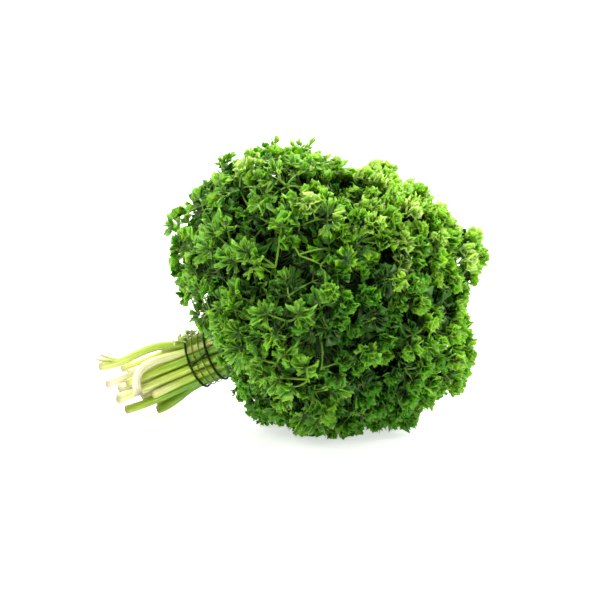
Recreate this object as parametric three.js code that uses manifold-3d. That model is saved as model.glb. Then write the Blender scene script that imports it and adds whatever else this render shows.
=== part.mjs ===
// A bunch of curly parsley lying on its side, held by a thin elastic tie wound round its stems.
// Millimetres, +Z up, +X from the cut ends towards the leaves. The origin is under the middle of the bunch.
//
// The leafy head is a round mass that begins at the tie. Its surface is shared out among evenly spaced
// fans (one fan is three toothed leaflets on one stalk), and each fan keeps inside its own wedge of the
// head, so no two fans meet. A fan belongs to the leaf whose middle is nearest to it, and the leaves stand
// in the same three rings, in the same order, as their stems stand in the tie.

import * as THREE from "three";
import { ConvexGeometry } from "three/addons/geometries/ConvexGeometry.js";
import { mergeVertices } from "three/addons/utils/BufferGeometryUtils.js";
import Module from "manifold-3d";

const { degToRad, seededRandom } = THREE.MathUtils;

// --- driving dimensions ---------------------------------------------------------------------------------

const HEAD_CENTRE = new THREE.Vector3(26, 0, 82);
const HEAD_RADIUS = 84;
const HEAD_TILT = degToRad(31); // of the head's axis, up from the floor
const HEAD_REACH = degToRad(156); // how far round from the head's far pole its leaves go

const TIE_DISTANCE = 88; // from the head's centre to the middle of the tie
const STEM_TILT = degToRad(24); // of the stems where the tie holds them
const TIE_HALF_LENGTH = 6.4; // from the tie's middle to its end turns
const STRAIGHT_HALF_LENGTH = 8; // the stems run side by side for this far each way
const TIE_RADIUS = 16.9;
const END_TURN_RADIUS = 0.75; // of the elastic itself, in the two end turns
const MIDDLE_TURN_RADIUS = 0.42;

// Rings of stems in the tie, from the middle out, and of the leaves that they feed: how far from the
// head's far pole the leaves stand, how much more or less by turns, and where their stems fork.
const RINGS = [
  { count: 4, turn: 40, slotRadius: 3.0, diameter: 3.8, leaf: 27, zigzag: 0, fork: 27, forkRadius: 46 },
  { count: 9, turn: 12, slotRadius: 7.9, diameter: 4.8, leaf: 65, zigzag: 5, fork: 64, forkRadius: 50 },
  { count: 15, turn: 4, slotRadius: 13.2, diameter: 5.1, leaf: 118, zigzag: 16, fork: 108, forkRadius: 58 },
];

// How far each stem runs on below the tie's middle, ring by ring, from the top one round by the back.
const CUT_LENGTHS = [
  [44, 52, 38, 49],
  [52, 45, 55, 41, 50, 46, 62, 58, 66],
  [25, 57, 44, 52, 47, 55, 49, 43, 42, 59, 37, 58, 49, 42, 64.6],
];
const STEM_FLARE = 1.18; // the stems stand this much further apart at their cut ends
const STEM_SWELL = 1.12; // and are this much thicker there
const STEM_NARROWING = 0.68; // of a stem's thickness, left at its fork

// The outer stems that lie out of line below the tie: how far the cut end stands up and to the front, and
// how far the stretch before it bows up and runs on. One of them also heaves up where it leaves the tie.
const STRAYS = new Map([
  [1, { lift: -1, front: 0, bow: -2, run: 0 }],
  [7, { lift: -1, front: 0, bow: -2, run: 0 }],
  [8, { lift: -3, front: 0, bow: -3, run: 0 }],
  [9, { lift: 2, front: 0, bow: -2, run: 0 }],
  [13, { lift: -14, front: 12, bow: 18, run: 13 }],
  [14, { lift: 6, front: 0, bow: -3, run: 4, heave: 13, split: true }],
]);
const IN_LINE = { lift: 0, front: 0, bow: 0, run: 0 };

// The two prongs of the split sheath at the foot of one stray stem, from its cut end.
const PRONGS = [new THREE.Vector3(1, -2, 8), new THREE.Vector3(-3, 1, 4)];
const PRONG_RADIUS = 1.5;

const DRAW_SEED = 64;
const FAN_COUNT = 128;
const SPIRAL_START = degToRad(68);
const FAN_DEPTH = 7; // a fan's leaflets rise this far from its stalk to the head's surface
const FAN_REACH = 18; // the longest leaflet tooth, measured along the head's surface
const CORE_DEPTH = 15; // the close mass of leaf inside a head stays this far below its surface
const CORE_MARGIN = 1; // the core goes on past the sunken end of a stalk by this
const FAN_GAP = 0.5; // left between a fan and the wall of its wedge
const BLADE_THICKNESS = 0.9;
const WIDEST_WEDGE = degToRad(57); // fans further apart than this aren't neighbours
const NECK_RADIUS = 2.1; // of the middle of a fan, where its leaflets meet
const WAVE = 1.7; // the teeth stand this far up and the notches this far down
const SURFACE_SPREAD = 3.5; // how far one fan stands in or out from its neighbours, at most
const DEPTH_SPREAD = 2;
const TWIST_SPREAD = degToRad(14);

const STEM_SIDES = 5;
const STEM_STEPS = 10;
const TIED_FROM = 0.4; // the share of a stem's steps at which its tied stretch begins
const TIED_TO = 0.5;
const BOW_SHARE = 0.4; // of a stretch's length, from each end to the point that bows it
const LEAFWARD = 0.5; // how much a stem turns towards its leaf as it reaches its fork
const PRONG_ROOT = 0.1;
const STALK_LENGTH = 10; // of the strip that runs down from a fan's middle into the core
const STALK_END = -18; // the lower end of that strip, from the head's surface
const STALK_WIDTH = 1.8;
const FORK_RADIUS = 2.2;
const LEAF_BASE_LENGTH = 10;
const LEAF_BASE_RADIUS = 1.6;
const FACE_GAP = 0.3; // between a stem's end and its leaf
const FLOOR_LIFT = 0.05;

// Ridges and valleys of the head, each round a direction given as an angle up from the front end of the
// bunch in its nearly upright middle plane, with how far it stands out and how wide it is.
const MIDDLE_PLANE_TURN = degToRad(10);
const MIDDLE_PLANE_LEAN = degToRad(12);
const RIDGE_RUN = 0.5; // how far they run on square to that plane
const RIDGES = [
  { at: 159, out: 13, width: 24 },
  { at: 124, out: 14, width: 26 },
  { at: 81, out: -18, width: 10 },
  { at: 17, out: 14, width: 12 },
  { at: -36, out: 16, width: 22 },
  { at: -92, out: 6, width: 26 },
];

const MATERIALS = {
  leaf: new THREE.MeshStandardMaterial({ color: "#4c8a1f", roughness: 0.5, metalness: 0 }),
  stem: new THREE.MeshStandardMaterial({ color: "#b3cc66", roughness: 0.45, metalness: 0 }),
  tie: new THREE.MeshStandardMaterial({ color: "#2c3a12", roughness: 0.6, metalness: 0 }),
};

// --- directions and places ------------------------------------------------------------------------------

// A random length or angle, up to the size given, either way.
function spread(size) {
  return (seededRandom() - 0.5) * 2 * size;
}

const up = new THREE.Vector3(0, 0, 1);
const across = new THREE.Vector3(0, 1, 0);
const GOLDEN_ANGLE = Math.PI * (3 - Math.sqrt(5));

// An axis in the XZ plane, with the direction square to it that points up.
function tiltedAxis(tilt) {
  const along = new THREE.Vector3(Math.cos(tilt), 0, Math.sin(tilt));
  return { along, rise: new THREE.Vector3().crossVectors(along, across).normalize() };
}

const head = tiltedAxis(HEAD_TILT);
const bundle = tiltedAxis(STEM_TILT);
const TIE_CENTRE = HEAD_CENTRE.clone().addScaledVector(head.along, -TIE_DISTANCE);

// The direction from the head's centre at a polar angle from its far pole and a turn about its axis.
function headDirection(polar, turn) {
  return new THREE.Vector3()
    .addScaledVector(head.along, Math.cos(polar))
    .addScaledVector(head.rise, Math.sin(polar) * Math.cos(turn))
    .addScaledVector(across, Math.sin(polar) * Math.sin(turn));
}

// The head's middle plane: forward and upward in it, and square to it.
const middlePlane = {
  forward: new THREE.Vector3(Math.cos(MIDDLE_PLANE_TURN), Math.sin(MIDDLE_PLANE_TURN), 0),
  upward: new THREE.Vector3(
    -Math.sin(MIDDLE_PLANE_TURN) * Math.sin(MIDDLE_PLANE_LEAN),
    Math.cos(MIDDLE_PLANE_TURN) * Math.sin(MIDDLE_PLANE_LEAN),
    Math.cos(MIDDLE_PLANE_LEAN),
  ),
};
middlePlane.square = new THREE.Vector3().crossVectors(middlePlane.upward, middlePlane.forward);

function surfaceRadius(direction) {
  const { forward, upward, square } = middlePlane;
  const flattened = direction.clone().addScaledVector(square, -RIDGE_RUN * direction.dot(square));
  let radius = HEAD_RADIUS;
  for (const ridge of RIDGES) {
    const angle = degToRad(ridge.at);
    const crest = forward.clone().multiplyScalar(Math.cos(angle)).addScaledVector(upward, Math.sin(angle));
    const share = flattened.angleTo(crest) / degToRad(ridge.width);
    radius += ridge.out * Math.exp(-share * share);
  }
  return radius;
}

// --- the plan of the bunch ------------------------------------------------------------------------------

// One sprig for each stem: where it stands in the tie, where it forks and which way its leaf faces.
function planSprigs() {
  const sprigs = [];
  for (const ring of RINGS) {
    for (let i = 0; i < ring.count; i += 1) {
      const turn = degToRad(ring.turn) + (i / ring.count) * 2 * Math.PI;
      const shift = ring.zigzag * (i % 2 === 0 ? 1 : -1);
      const facing = headDirection(degToRad(ring.leaf + shift), turn);
      const forkWay = headDirection(degToRad(ring.fork + shift), turn);
      const outward = new THREE.Vector3()
        .addScaledVector(bundle.rise, Math.cos(turn))
        .addScaledVector(across, Math.sin(turn));
      sprigs.push({
        ring,
        cutLength: CUT_LENGTHS[RINGS.indexOf(ring)][i],
        stray: (ring === RINGS[2] && STRAYS.get(i)) || IN_LINE,
        facing,
        outward,
        slot: TIE_CENTRE.clone().addScaledVector(outward, ring.slotRadius),
        fork: HEAD_CENTRE.clone().addScaledVector(forkWay, ring.forkRadius),
        fans: [],
      });
    }
  }
  return sprigs;
}

// Fans on a golden-angle spiral over the head, each given to the sprig that faces its way.
function planFans(sprigs) {
  const fans = [];
  for (let i = 0; i < FAN_COUNT; i += 1) {
    const fromPole = Math.acos(1 - ((i + 0.5) / FAN_COUNT) * (1 - Math.cos(HEAD_REACH)));
    const facing = headDirection(fromPole, SPIRAL_START + i * GOLDEN_ANGLE);
    const radius = surfaceRadius(facing) + spread(SURFACE_SPREAD);
    const fan = { facing, radius, depth: FAN_DEPTH + spread(DEPTH_SPREAD), twist: spread(TWIST_SPREAD) };
    fans.push(fan);
    const nearest = sprigs.reduce((a, b) => (a.facing.dot(facing) >= b.facing.dot(facing) ? a : b));
    nearest.fans.push(fan);
  }
  return fans;
}

// --- solids ---------------------------------------------------------------------------------------------

const wasm = await Module();
wasm.setup();

function solidFrom(geometry) {
  const bare = geometry.clone();
  bare.deleteAttribute("normal");
  bare.deleteAttribute("uv");
  const merged = mergeVertices(bare, 1e-4);
  return new wasm.Manifold(
    new wasm.Mesh({
      numProp: 3,
      vertProperties: new Float32Array(merged.attributes.position.array),
      triVerts: new Uint32Array(merged.index.array),
    }),
  );
}

function geometryFrom(solid) {
  const mesh = solid.getMesh();
  const geometry = new THREE.BufferGeometry();
  geometry.setAttribute("position", new THREE.BufferAttribute(mesh.vertProperties, 3));
  geometry.setIndex(new THREE.BufferAttribute(mesh.triVerts, 1));
  geometry.computeVertexNormals();
  return geometry;
}

function polygon(radius, sides) {
  const corners = [];
  for (let i = 0; i < sides; i += 1) {
    const angle = (i / sides) * 2 * Math.PI;
    corners.push(new THREE.Vector2(radius * Math.cos(angle), radius * Math.sin(angle)));
  }
  return new THREE.Shape(corners);
}

function rod(path, radius, sides, steps) {
  return new THREE.ExtrudeGeometry(polygon(radius, sides), { steps, extrudePath: path, bevelEnabled: false });
}

// A rod whose thickness is scaled along its path by a function of the share of the way along it.
function taperedRod(path, radius, sides, steps, scaleAt) {
  const geometry = rod(path, radius, sides, steps);
  const centres = path.getSpacedPoints(steps);
  const position = geometry.attributes.position;
  const place = new THREE.Vector3();
  for (let i = 0; i < position.count; i += 1) {
    place.fromBufferAttribute(position, i);
    const nearest = centres.reduce((a, b) => (a.distanceTo(place) <= b.distanceTo(place) ? a : b));
    place.lerp(nearest, 1 - scaleAt(centres.indexOf(nearest) / steps));
    position.setXYZ(i, place.x, place.y, place.z);
  }
  return geometry;
}

// --- stems ----------------------------------------------------------------------------------------------

// A stem's centre line: a free stretch below the tie, a straight one in it, and one that bends out to the
// fork. Its points are taken evenly along its own parameter, so that the straight stretch stays straight.
class StemPath extends THREE.Curve {
  constructor(sprig) {
    super();
    const { slot, outward, ring, fork, stray } = sprig;
    const below = slot.clone().addScaledVector(bundle.along, -STRAIGHT_HALF_LENGTH);
    const above = slot.clone().addScaledVector(bundle.along, STRAIGHT_HALF_LENGTH);
    const cutEnd = TIE_CENTRE.clone()
      .addScaledVector(bundle.along, -sprig.cutLength)
      .addScaledVector(outward, ring.slotRadius * STEM_FLARE)
      .addScaledVector(bundle.rise, stray.lift)
      .addScaledVector(across, -stray.front);
    cutEnd.z = Math.max(cutEnd.z, (ring.diameter / 2) * STEM_SWELL + FLOOR_LIFT);
    const bow = cutEnd
      .clone()
      .lerp(below, BOW_SHARE)
      .addScaledVector(bundle.rise, stray.bow)
      .addScaledVector(bundle.along, -stray.run);
    const arrive = arrivalAt(sprig);
    const top = fork.clone().addScaledVector(arrive, -LEAF_BASE_LENGTH - FACE_GAP);
    const bend = above.distanceTo(top) * BOW_SHARE;
    const free = below.distanceTo(cutEnd) * BOW_SHARE;
    this.parts = [
      {
        from: 0,
        curve: new THREE.CubicBezierCurve3(
          cutEnd,
          bow,
          below
            .clone()
            .addScaledVector(bundle.along, -free)
            .addScaledVector(bundle.rise, stray.heave ?? 0),
          below,
        ),
      },
      { from: TIED_FROM, curve: new THREE.LineCurve3(below, above) },
      {
        from: TIED_TO,
        curve: new THREE.CubicBezierCurve3(
          above,
          above.clone().addScaledVector(bundle.along, bend),
          top.clone().addScaledVector(arrive, -bend),
          top,
        ),
      },
    ];
  }

  getPoint(t, target = new THREE.Vector3()) {
    const last = this.parts.findLastIndex((part) => t >= part.from);
    const from = this.parts[last].from;
    const to = last + 1 < this.parts.length ? this.parts[last + 1].from : 1;
    return this.parts[last].curve.getPoint(THREE.MathUtils.clamp((t - from) / (to - from), 0, 1), target);
  }

  getPointAt(u, target) {
    return this.getPoint(u, target);
  }

  getTangentAt(u, target) {
    return this.getTangent(u, target);
  }
}

// The way a stem points as it reaches its fork: partly on from the tie and partly towards its leaf.
function arrivalAt(sprig) {
  const onward = sprig.fork.clone().sub(TIE_CENTRE).normalize();
  return onward.addScaledVector(sprig.facing, LEAFWARD).normalize();
}

// A stem's thickness at a share of the way from its cut end to its fork, as a share of the tied one.
function stemThickness(t) {
  if (t < TIED_FROM) return THREE.MathUtils.mapLinear(t, 0, TIED_FROM, STEM_SWELL, 1);
  return THREE.MathUtils.mapLinear(Math.max(t, TIED_TO), TIED_TO, 1, 1, STEM_NARROWING);
}

function stemSolid(sprig) {
  const path = new StemPath(sprig);
  const stem = taperedRod(path, sprig.ring.diameter / 2, STEM_SIDES, STEM_STEPS, stemThickness);
  if (!sprig.stray.split) return solidFrom(stem);
  const root = path.getPoint(PRONG_ROOT);
  const prongs = PRONGS.map((prong) => {
    const tip = path.getPoint(0).add(prong);
    return solidFrom(rod(new THREE.LineCurve3(root, tip), PRONG_RADIUS, STEM_SIDES, 1));
  });
  return wasm.Manifold.union([solidFrom(stem), ...prongs]);
}

// --- fans and leaves ------------------------------------------------------------------------------------

const LEAFLET_TURNS = [-110, 0, 110];
const NECK_TURN = 55;
const TOOTH_TURNS = [-42, -22, 0, 22, 42];
const TOOTH_SHARES = [0.88, 0.72, 1, 0.72, 0.88];

function aroundMiddle(radius, turn) {
  return new THREE.Vector2(radius * Math.cos(turn), radius * Math.sin(turn));
}

// A fan's outline about its middle, each corner with its height over the head's surface: the end of the
// stalk, then three leaflets of three teeth that are cut nearly to the middle between them.
function fanOutline(fan, frame, fans) {
  const corners = [
    { place: new THREE.Vector2(-STALK_LENGTH, STALK_WIDTH / 2), rise: STALK_END },
    { place: new THREE.Vector2(-STALK_LENGTH, -STALK_WIDTH / 2), rise: STALK_END },
  ];
  for (const leaflet of LEAFLET_TURNS) {
    corners.push({ place: aroundMiddle(NECK_RADIUS, degToRad(leaflet - NECK_TURN)), rise: -fan.depth });
    TOOTH_TURNS.forEach((tooth, i) => {
      const turn = degToRad(leaflet + tooth) + fan.twist;
      const rise = -fan.depth * (1 - TOOTH_SHARES[i]) + (i % 2 === 0 ? WAVE : -WAVE);
      corners.push({ place: aroundMiddle(reachAt(fan, turn, frame, fans) * TOOTH_SHARES[i], turn), rise });
    });
  }
  corners.push({ place: aroundMiddle(NECK_RADIUS, degToRad(LEAFLET_TURNS[2] + NECK_TURN)), rise: -fan.depth });
  return corners;
}

// The two directions square to a fan's own, the first of them pointing away from its sprig's fork.
function fanFrame(fan, fork) {
  const outFromFork = fan.facing.clone().multiplyScalar(fan.radius).add(HEAD_CENTRE).sub(fork);
  const forward = outFromFork.addScaledVector(fan.facing, -outFromFork.dot(fan.facing)).normalize();
  return { forward, left: new THREE.Vector3().crossVectors(fan.facing, forward) };
}

// The place over the head that is so far forward and left of a fan's middle, and so far above the surface.
function overHead(fan, frame, forward, left, rise) {
  const way = fan.facing
    .clone()
    .addScaledVector(frame.forward, forward / fan.radius)
    .addScaledVector(frame.left, left / fan.radius)
    .normalize();
  return HEAD_CENTRE.clone().addScaledVector(way, fan.radius + rise);
}

// How far a fan may reach at a turn about its middle before it meets the wedge of a neighbour.
function reachAt(fan, turn, frame, fans) {
  const way = frame.forward.clone().multiplyScalar(Math.cos(turn)).addScaledVector(frame.left, Math.sin(turn));
  let reach = FAN_REACH;
  for (const other of fans) {
    if (other === fan) continue;
    const between = fan.facing.angleTo(other.facing);
    if (between > WIDEST_WEDGE) continue;
    const towards = other.facing.clone().addScaledVector(fan.facing, -Math.cos(between)).normalize();
    const slant = way.dot(towards);
    if (slant > 0) reach = Math.min(reach, (fan.radius * Math.tan(between / 2) - FAN_GAP) / slant);
  }
  return reach;
}

// A fan as a flat plate of its outline that is then laid over the head's surface: its middle lies deep,
// its teeth reach the surface and wave up and down, and what would pass through the floor lies flat on it.
function fanGeometry(fan, fork, fans) {
  const frame = fanFrame(fan, fork);
  const corners = fanOutline(fan, frame, fans);
  const plate = new THREE.ExtrudeGeometry(new THREE.Shape(corners.map((corner) => corner.place)), {
    depth: BLADE_THICKNESS,
    bevelEnabled: false,
  });
  const position = plate.attributes.position;
  const place = new THREE.Vector3();
  for (let i = 0; i < position.count; i += 1) {
    place.fromBufferAttribute(position, i);
    const above = place.z;
    const { rise } = corners.reduce((a, b) => (a.place.distanceTo(place) < b.place.distanceTo(place) ? a : b));
    const laid = overHead(fan, frame, place.x, place.y, rise + above);
    const floor = above > 0 ? 0 : BLADE_THICKNESS;
    position.setXYZ(i, laid.x, laid.y, Math.max(laid.z, floor));
  }
  return plate;
}

function leafSolid(sprig, fans) {
  const { fork } = sprig;
  const base = fork.clone().addScaledVector(arrivalAt(sprig), -LEAF_BASE_LENGTH);
  const leafBase = rod(new THREE.LineCurve3(base, fork), LEAF_BASE_RADIUS, STEM_SIDES, 1);
  const solids = [solidFrom(leafBase), coreSolid(sprig)];
  for (const fan of sprig.fans) solids.push(solidFrom(fanGeometry(fan, fork, fans)));
  return wasm.Manifold.union(solids);
}

// The close mass of small leaf round a fork: a hull of the fork and of two places below each fan, one
// under its middle and one round the end of its stalk.
function coreSolid(sprig) {
  const corners = [];
  for (const way of [sprig.facing, across, up, bundle.along]) {
    corners.push(sprig.fork.clone().addScaledVector(way, FORK_RADIUS));
    corners.push(sprig.fork.clone().addScaledVector(way, -FORK_RADIUS));
  }
  for (const fan of sprig.fans) {
    const frame = fanFrame(fan, sprig.fork);
    corners.push(overHead(fan, frame, 0, 0, -CORE_DEPTH));
    corners.push(overHead(fan, frame, -STALK_LENGTH - CORE_MARGIN, 0, STALK_END - CORE_MARGIN));
    for (const side of [STALK_WIDTH, -STALK_WIDTH]) {
      corners.push(overHead(fan, frame, -STALK_LENGTH + 2 * CORE_MARGIN, side, STALK_END + 4 * CORE_MARGIN));
    }
  }
  return solidFrom(new ConvexGeometry(corners));
}

// --- the tie --------------------------------------------------------------------------------------------

const CROSSING_START = degToRad(-88); // round the tie from its top, on its lower end turn
const CROSSING_END = degToRad(-73); // and on its upper one
const CROSSING_RADIUS = 0.68;
const TURN_SEGMENTS = 23;
const END_TURN_SIDES = 5;
const MIDDLE_TURN_SIDES = 3;

function tiePoint(turn, along) {
  return TIE_CENTRE.clone()
    .addScaledVector(bundle.along, along)
    .addScaledVector(bundle.rise, TIE_RADIUS * Math.cos(turn))
    .addScaledVector(across, TIE_RADIUS * Math.sin(turn));
}

function tieTurn(along, radius, sides) {
  const turn = new THREE.TorusGeometry(TIE_RADIUS, radius, sides, TURN_SEGMENTS);
  const facing = new THREE.Quaternion().setFromUnitVectors(up, bundle.along);
  const centre = TIE_CENTRE.clone().addScaledVector(bundle.along, along);
  return turn.applyQuaternion(facing).translate(centre.x, centre.y, centre.z);
}

// Two stout end turns and two finer turns between them, with the stretch that crosses from end to end.
function tieSolid() {
  const crossing = new THREE.LineCurve3(
    tiePoint(CROSSING_START, -TIE_HALF_LENGTH),
    tiePoint(CROSSING_END, TIE_HALF_LENGTH),
  );
  const pieces = [
    tieTurn(-TIE_HALF_LENGTH, END_TURN_RADIUS, END_TURN_SIDES),
    tieTurn(TIE_HALF_LENGTH, END_TURN_RADIUS, END_TURN_SIDES),
    tieTurn(-TIE_HALF_LENGTH / 3, MIDDLE_TURN_RADIUS, MIDDLE_TURN_SIDES),
    tieTurn(TIE_HALF_LENGTH / 3, MIDDLE_TURN_RADIUS, MIDDLE_TURN_SIDES),
    rod(crossing, CROSSING_RADIUS, END_TURN_SIDES, 1),
  ];
  return wasm.Manifold.union(pieces.map(solidFrom));
}

// --- assembly -------------------------------------------------------------------------------------------

function addPiece(group, name, solid, material) {
  const mesh = new THREE.Mesh(geometryFrom(solid), material.clone());
  mesh.name = name;
  group.add(mesh);
}

function buildBunch() {
  const bunch = new THREE.Group();
  seededRandom(DRAW_SEED);
  const sprigs = planSprigs();
  const fans = planFans(sprigs);
  sprigs.forEach((sprig, i) => {
    const number = String(i + 1).padStart(2, "0");
    addPiece(bunch, `stem_${number}`, stemSolid(sprig), MATERIALS.stem);
    addPiece(bunch, `leaf_${number}`, leafSolid(sprig, fans), MATERIALS.leaf);
  });
  addPiece(bunch, "tie", tieSolid(), MATERIALS.tie);
  return bunch;
}

export default buildBunch();
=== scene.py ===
import logging
import math
from dataclasses import dataclass, field
from enum import Enum
from random import Random

import bmesh
import bpy
import numpy as np
from mathutils import Matrix, Vector, noise


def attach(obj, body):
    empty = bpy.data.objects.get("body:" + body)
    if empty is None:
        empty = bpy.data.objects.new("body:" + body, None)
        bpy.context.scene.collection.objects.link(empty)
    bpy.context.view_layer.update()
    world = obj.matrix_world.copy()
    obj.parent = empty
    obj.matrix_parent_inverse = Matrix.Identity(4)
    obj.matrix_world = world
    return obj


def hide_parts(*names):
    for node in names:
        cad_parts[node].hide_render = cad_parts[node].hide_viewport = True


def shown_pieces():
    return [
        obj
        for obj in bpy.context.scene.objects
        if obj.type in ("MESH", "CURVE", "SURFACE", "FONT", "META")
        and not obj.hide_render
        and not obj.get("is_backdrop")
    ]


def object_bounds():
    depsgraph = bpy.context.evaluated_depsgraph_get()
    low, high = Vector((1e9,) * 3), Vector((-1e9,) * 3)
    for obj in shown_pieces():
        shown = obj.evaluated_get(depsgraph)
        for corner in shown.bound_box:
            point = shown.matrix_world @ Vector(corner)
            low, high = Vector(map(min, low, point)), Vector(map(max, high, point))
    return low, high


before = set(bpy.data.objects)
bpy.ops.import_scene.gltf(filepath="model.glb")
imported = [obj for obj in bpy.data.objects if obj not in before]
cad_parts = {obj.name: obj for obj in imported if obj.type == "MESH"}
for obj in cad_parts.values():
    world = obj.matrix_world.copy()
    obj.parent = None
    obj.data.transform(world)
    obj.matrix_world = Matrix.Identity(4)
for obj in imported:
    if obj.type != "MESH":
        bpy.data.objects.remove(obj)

# A tied bunch of curly parsley lying on its side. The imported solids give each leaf's stem, fork and fans;
# the plan below repeats their layout from the same dimensions and draws, in millimetres, and the classes
# after it build the finer stems, leaflets and tie in their places.

MM = 0.001  # the plan is in millimetres and the meshes in metres
UP = Vector((0, 0, 1))
ACROSS = Vector((0, 1, 0))
GOLDEN_ANGLE = math.pi * (3 - math.sqrt(5))

log = logging.getLogger("parsley")


def mixed(low: float, high: float, share: float) -> float:
    """The number a share of the way from low to high."""
    return low + (high - low) * share


def turned(vector: Vector, other: Vector, angle: float) -> Vector:
    """The direction at an angle from vector towards other, which is square to it."""
    return vector * math.cos(angle) + other * math.sin(angle)


# --- the plan of the bunch ------------------------------------------------------------------------------


class Draws:
    """Even draws from 0 to 1, the same run of them that the solids were laid out with."""

    MASK = 0xFFFFFFFF

    def __init__(self, seed: int) -> None:
        """Starts the run.

        Args:
            seed: The number that the run begins with.
        """
        self.state = seed
        self.draw()

    def draw(self) -> float:
        """The next draw, from 0 to 1."""
        self.state = (self.state + 0x6D2B79F5) & self.MASK
        t = self.state
        t = ((t ^ (t >> 15)) * (t | 1)) & self.MASK
        t ^= (t + ((t ^ (t >> 7)) * (t | 61))) & self.MASK
        return ((t ^ (t >> 14)) & self.MASK) / 2**32

    def spread(self, size: float) -> float:
        """A length or angle up to size, either way."""
        return (self.draw() - 0.5) * 2 * size


@dataclass(frozen=True)
class Axis:
    """A tilted axis in the XZ plane, with the direction square to it that points up."""

    tilt: float

    @property
    def along(self) -> Vector:
        """The axis itself."""
        angle = math.radians(self.tilt)
        return Vector((math.cos(angle), 0, math.sin(angle)))

    @property
    def rise(self) -> Vector:
        """The direction square to the axis that points up."""
        return self.along.cross(ACROSS)


@dataclass(frozen=True)
class Ring:
    """One ring of stems in the tie, and of the leaves that they feed."""

    turn: float
    slot_radius: float
    diameter: float
    leaf: float
    zigzag: float
    fork: float
    fork_radius: float
    cuts: tuple[float, ...]


@dataclass(frozen=True)
class Stray:
    """How far a stem's free end lies out of line, and how much greener the stem is than the rest."""

    lift: float = 0
    front: float = 0
    bow: float = 0
    run: float = 0
    heave: float = 0
    split: bool = False
    tone: float = 0
    shoot: bool = False


@dataclass(frozen=True)
class Ridge:
    """A ridge or valley of the head, by its angle up from the front end of the middle plane."""

    at: float
    out: float
    width: float


@dataclass(frozen=True)
class Spray:
    """A stalk that parts into bare side stalks over a hollow: where it parts and where they end, each by
    its place to the right and up in the middle plane, on the head's near side."""

    node: tuple[float, float]
    tips: tuple[tuple[float, float], ...]


@dataclass
class Fan:
    """One fan of leaflets on the head: where it faces, how far out it stands, how deep its stalk ends and
    how far it lies from the middle of its leaf, in radians."""

    facing: Vector
    radius: float
    depth: float
    inset: float
    spots: list[Vector] = field(default_factory=list)
    sprays: list[Spray] = field(default_factory=list)


@dataclass
class Sprig:
    """One stem with its leaf: its place in the tie, its fork and the way its leaf faces."""

    ring: Ring
    cut: float
    stray: Stray
    facing: Vector
    outward: Vector
    slot: Vector
    fork: Vector
    fans: list[Fan] = field(default_factory=list)


class Growth(Enum):
    """What the leaflets are like at a spot on the head. At shaded spots their green is darkened as painted
    shade.
    """

    BARE = "bare"
    YOUNG = "young"
    SHADED = "shaded"
    OVERTURNED = "overturned"


@dataclass(frozen=True)
class Patch:
    """A spot on the head's near side that differs from the rest, by its place in the middle plane."""

    right: float
    up: float
    width: float


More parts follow.
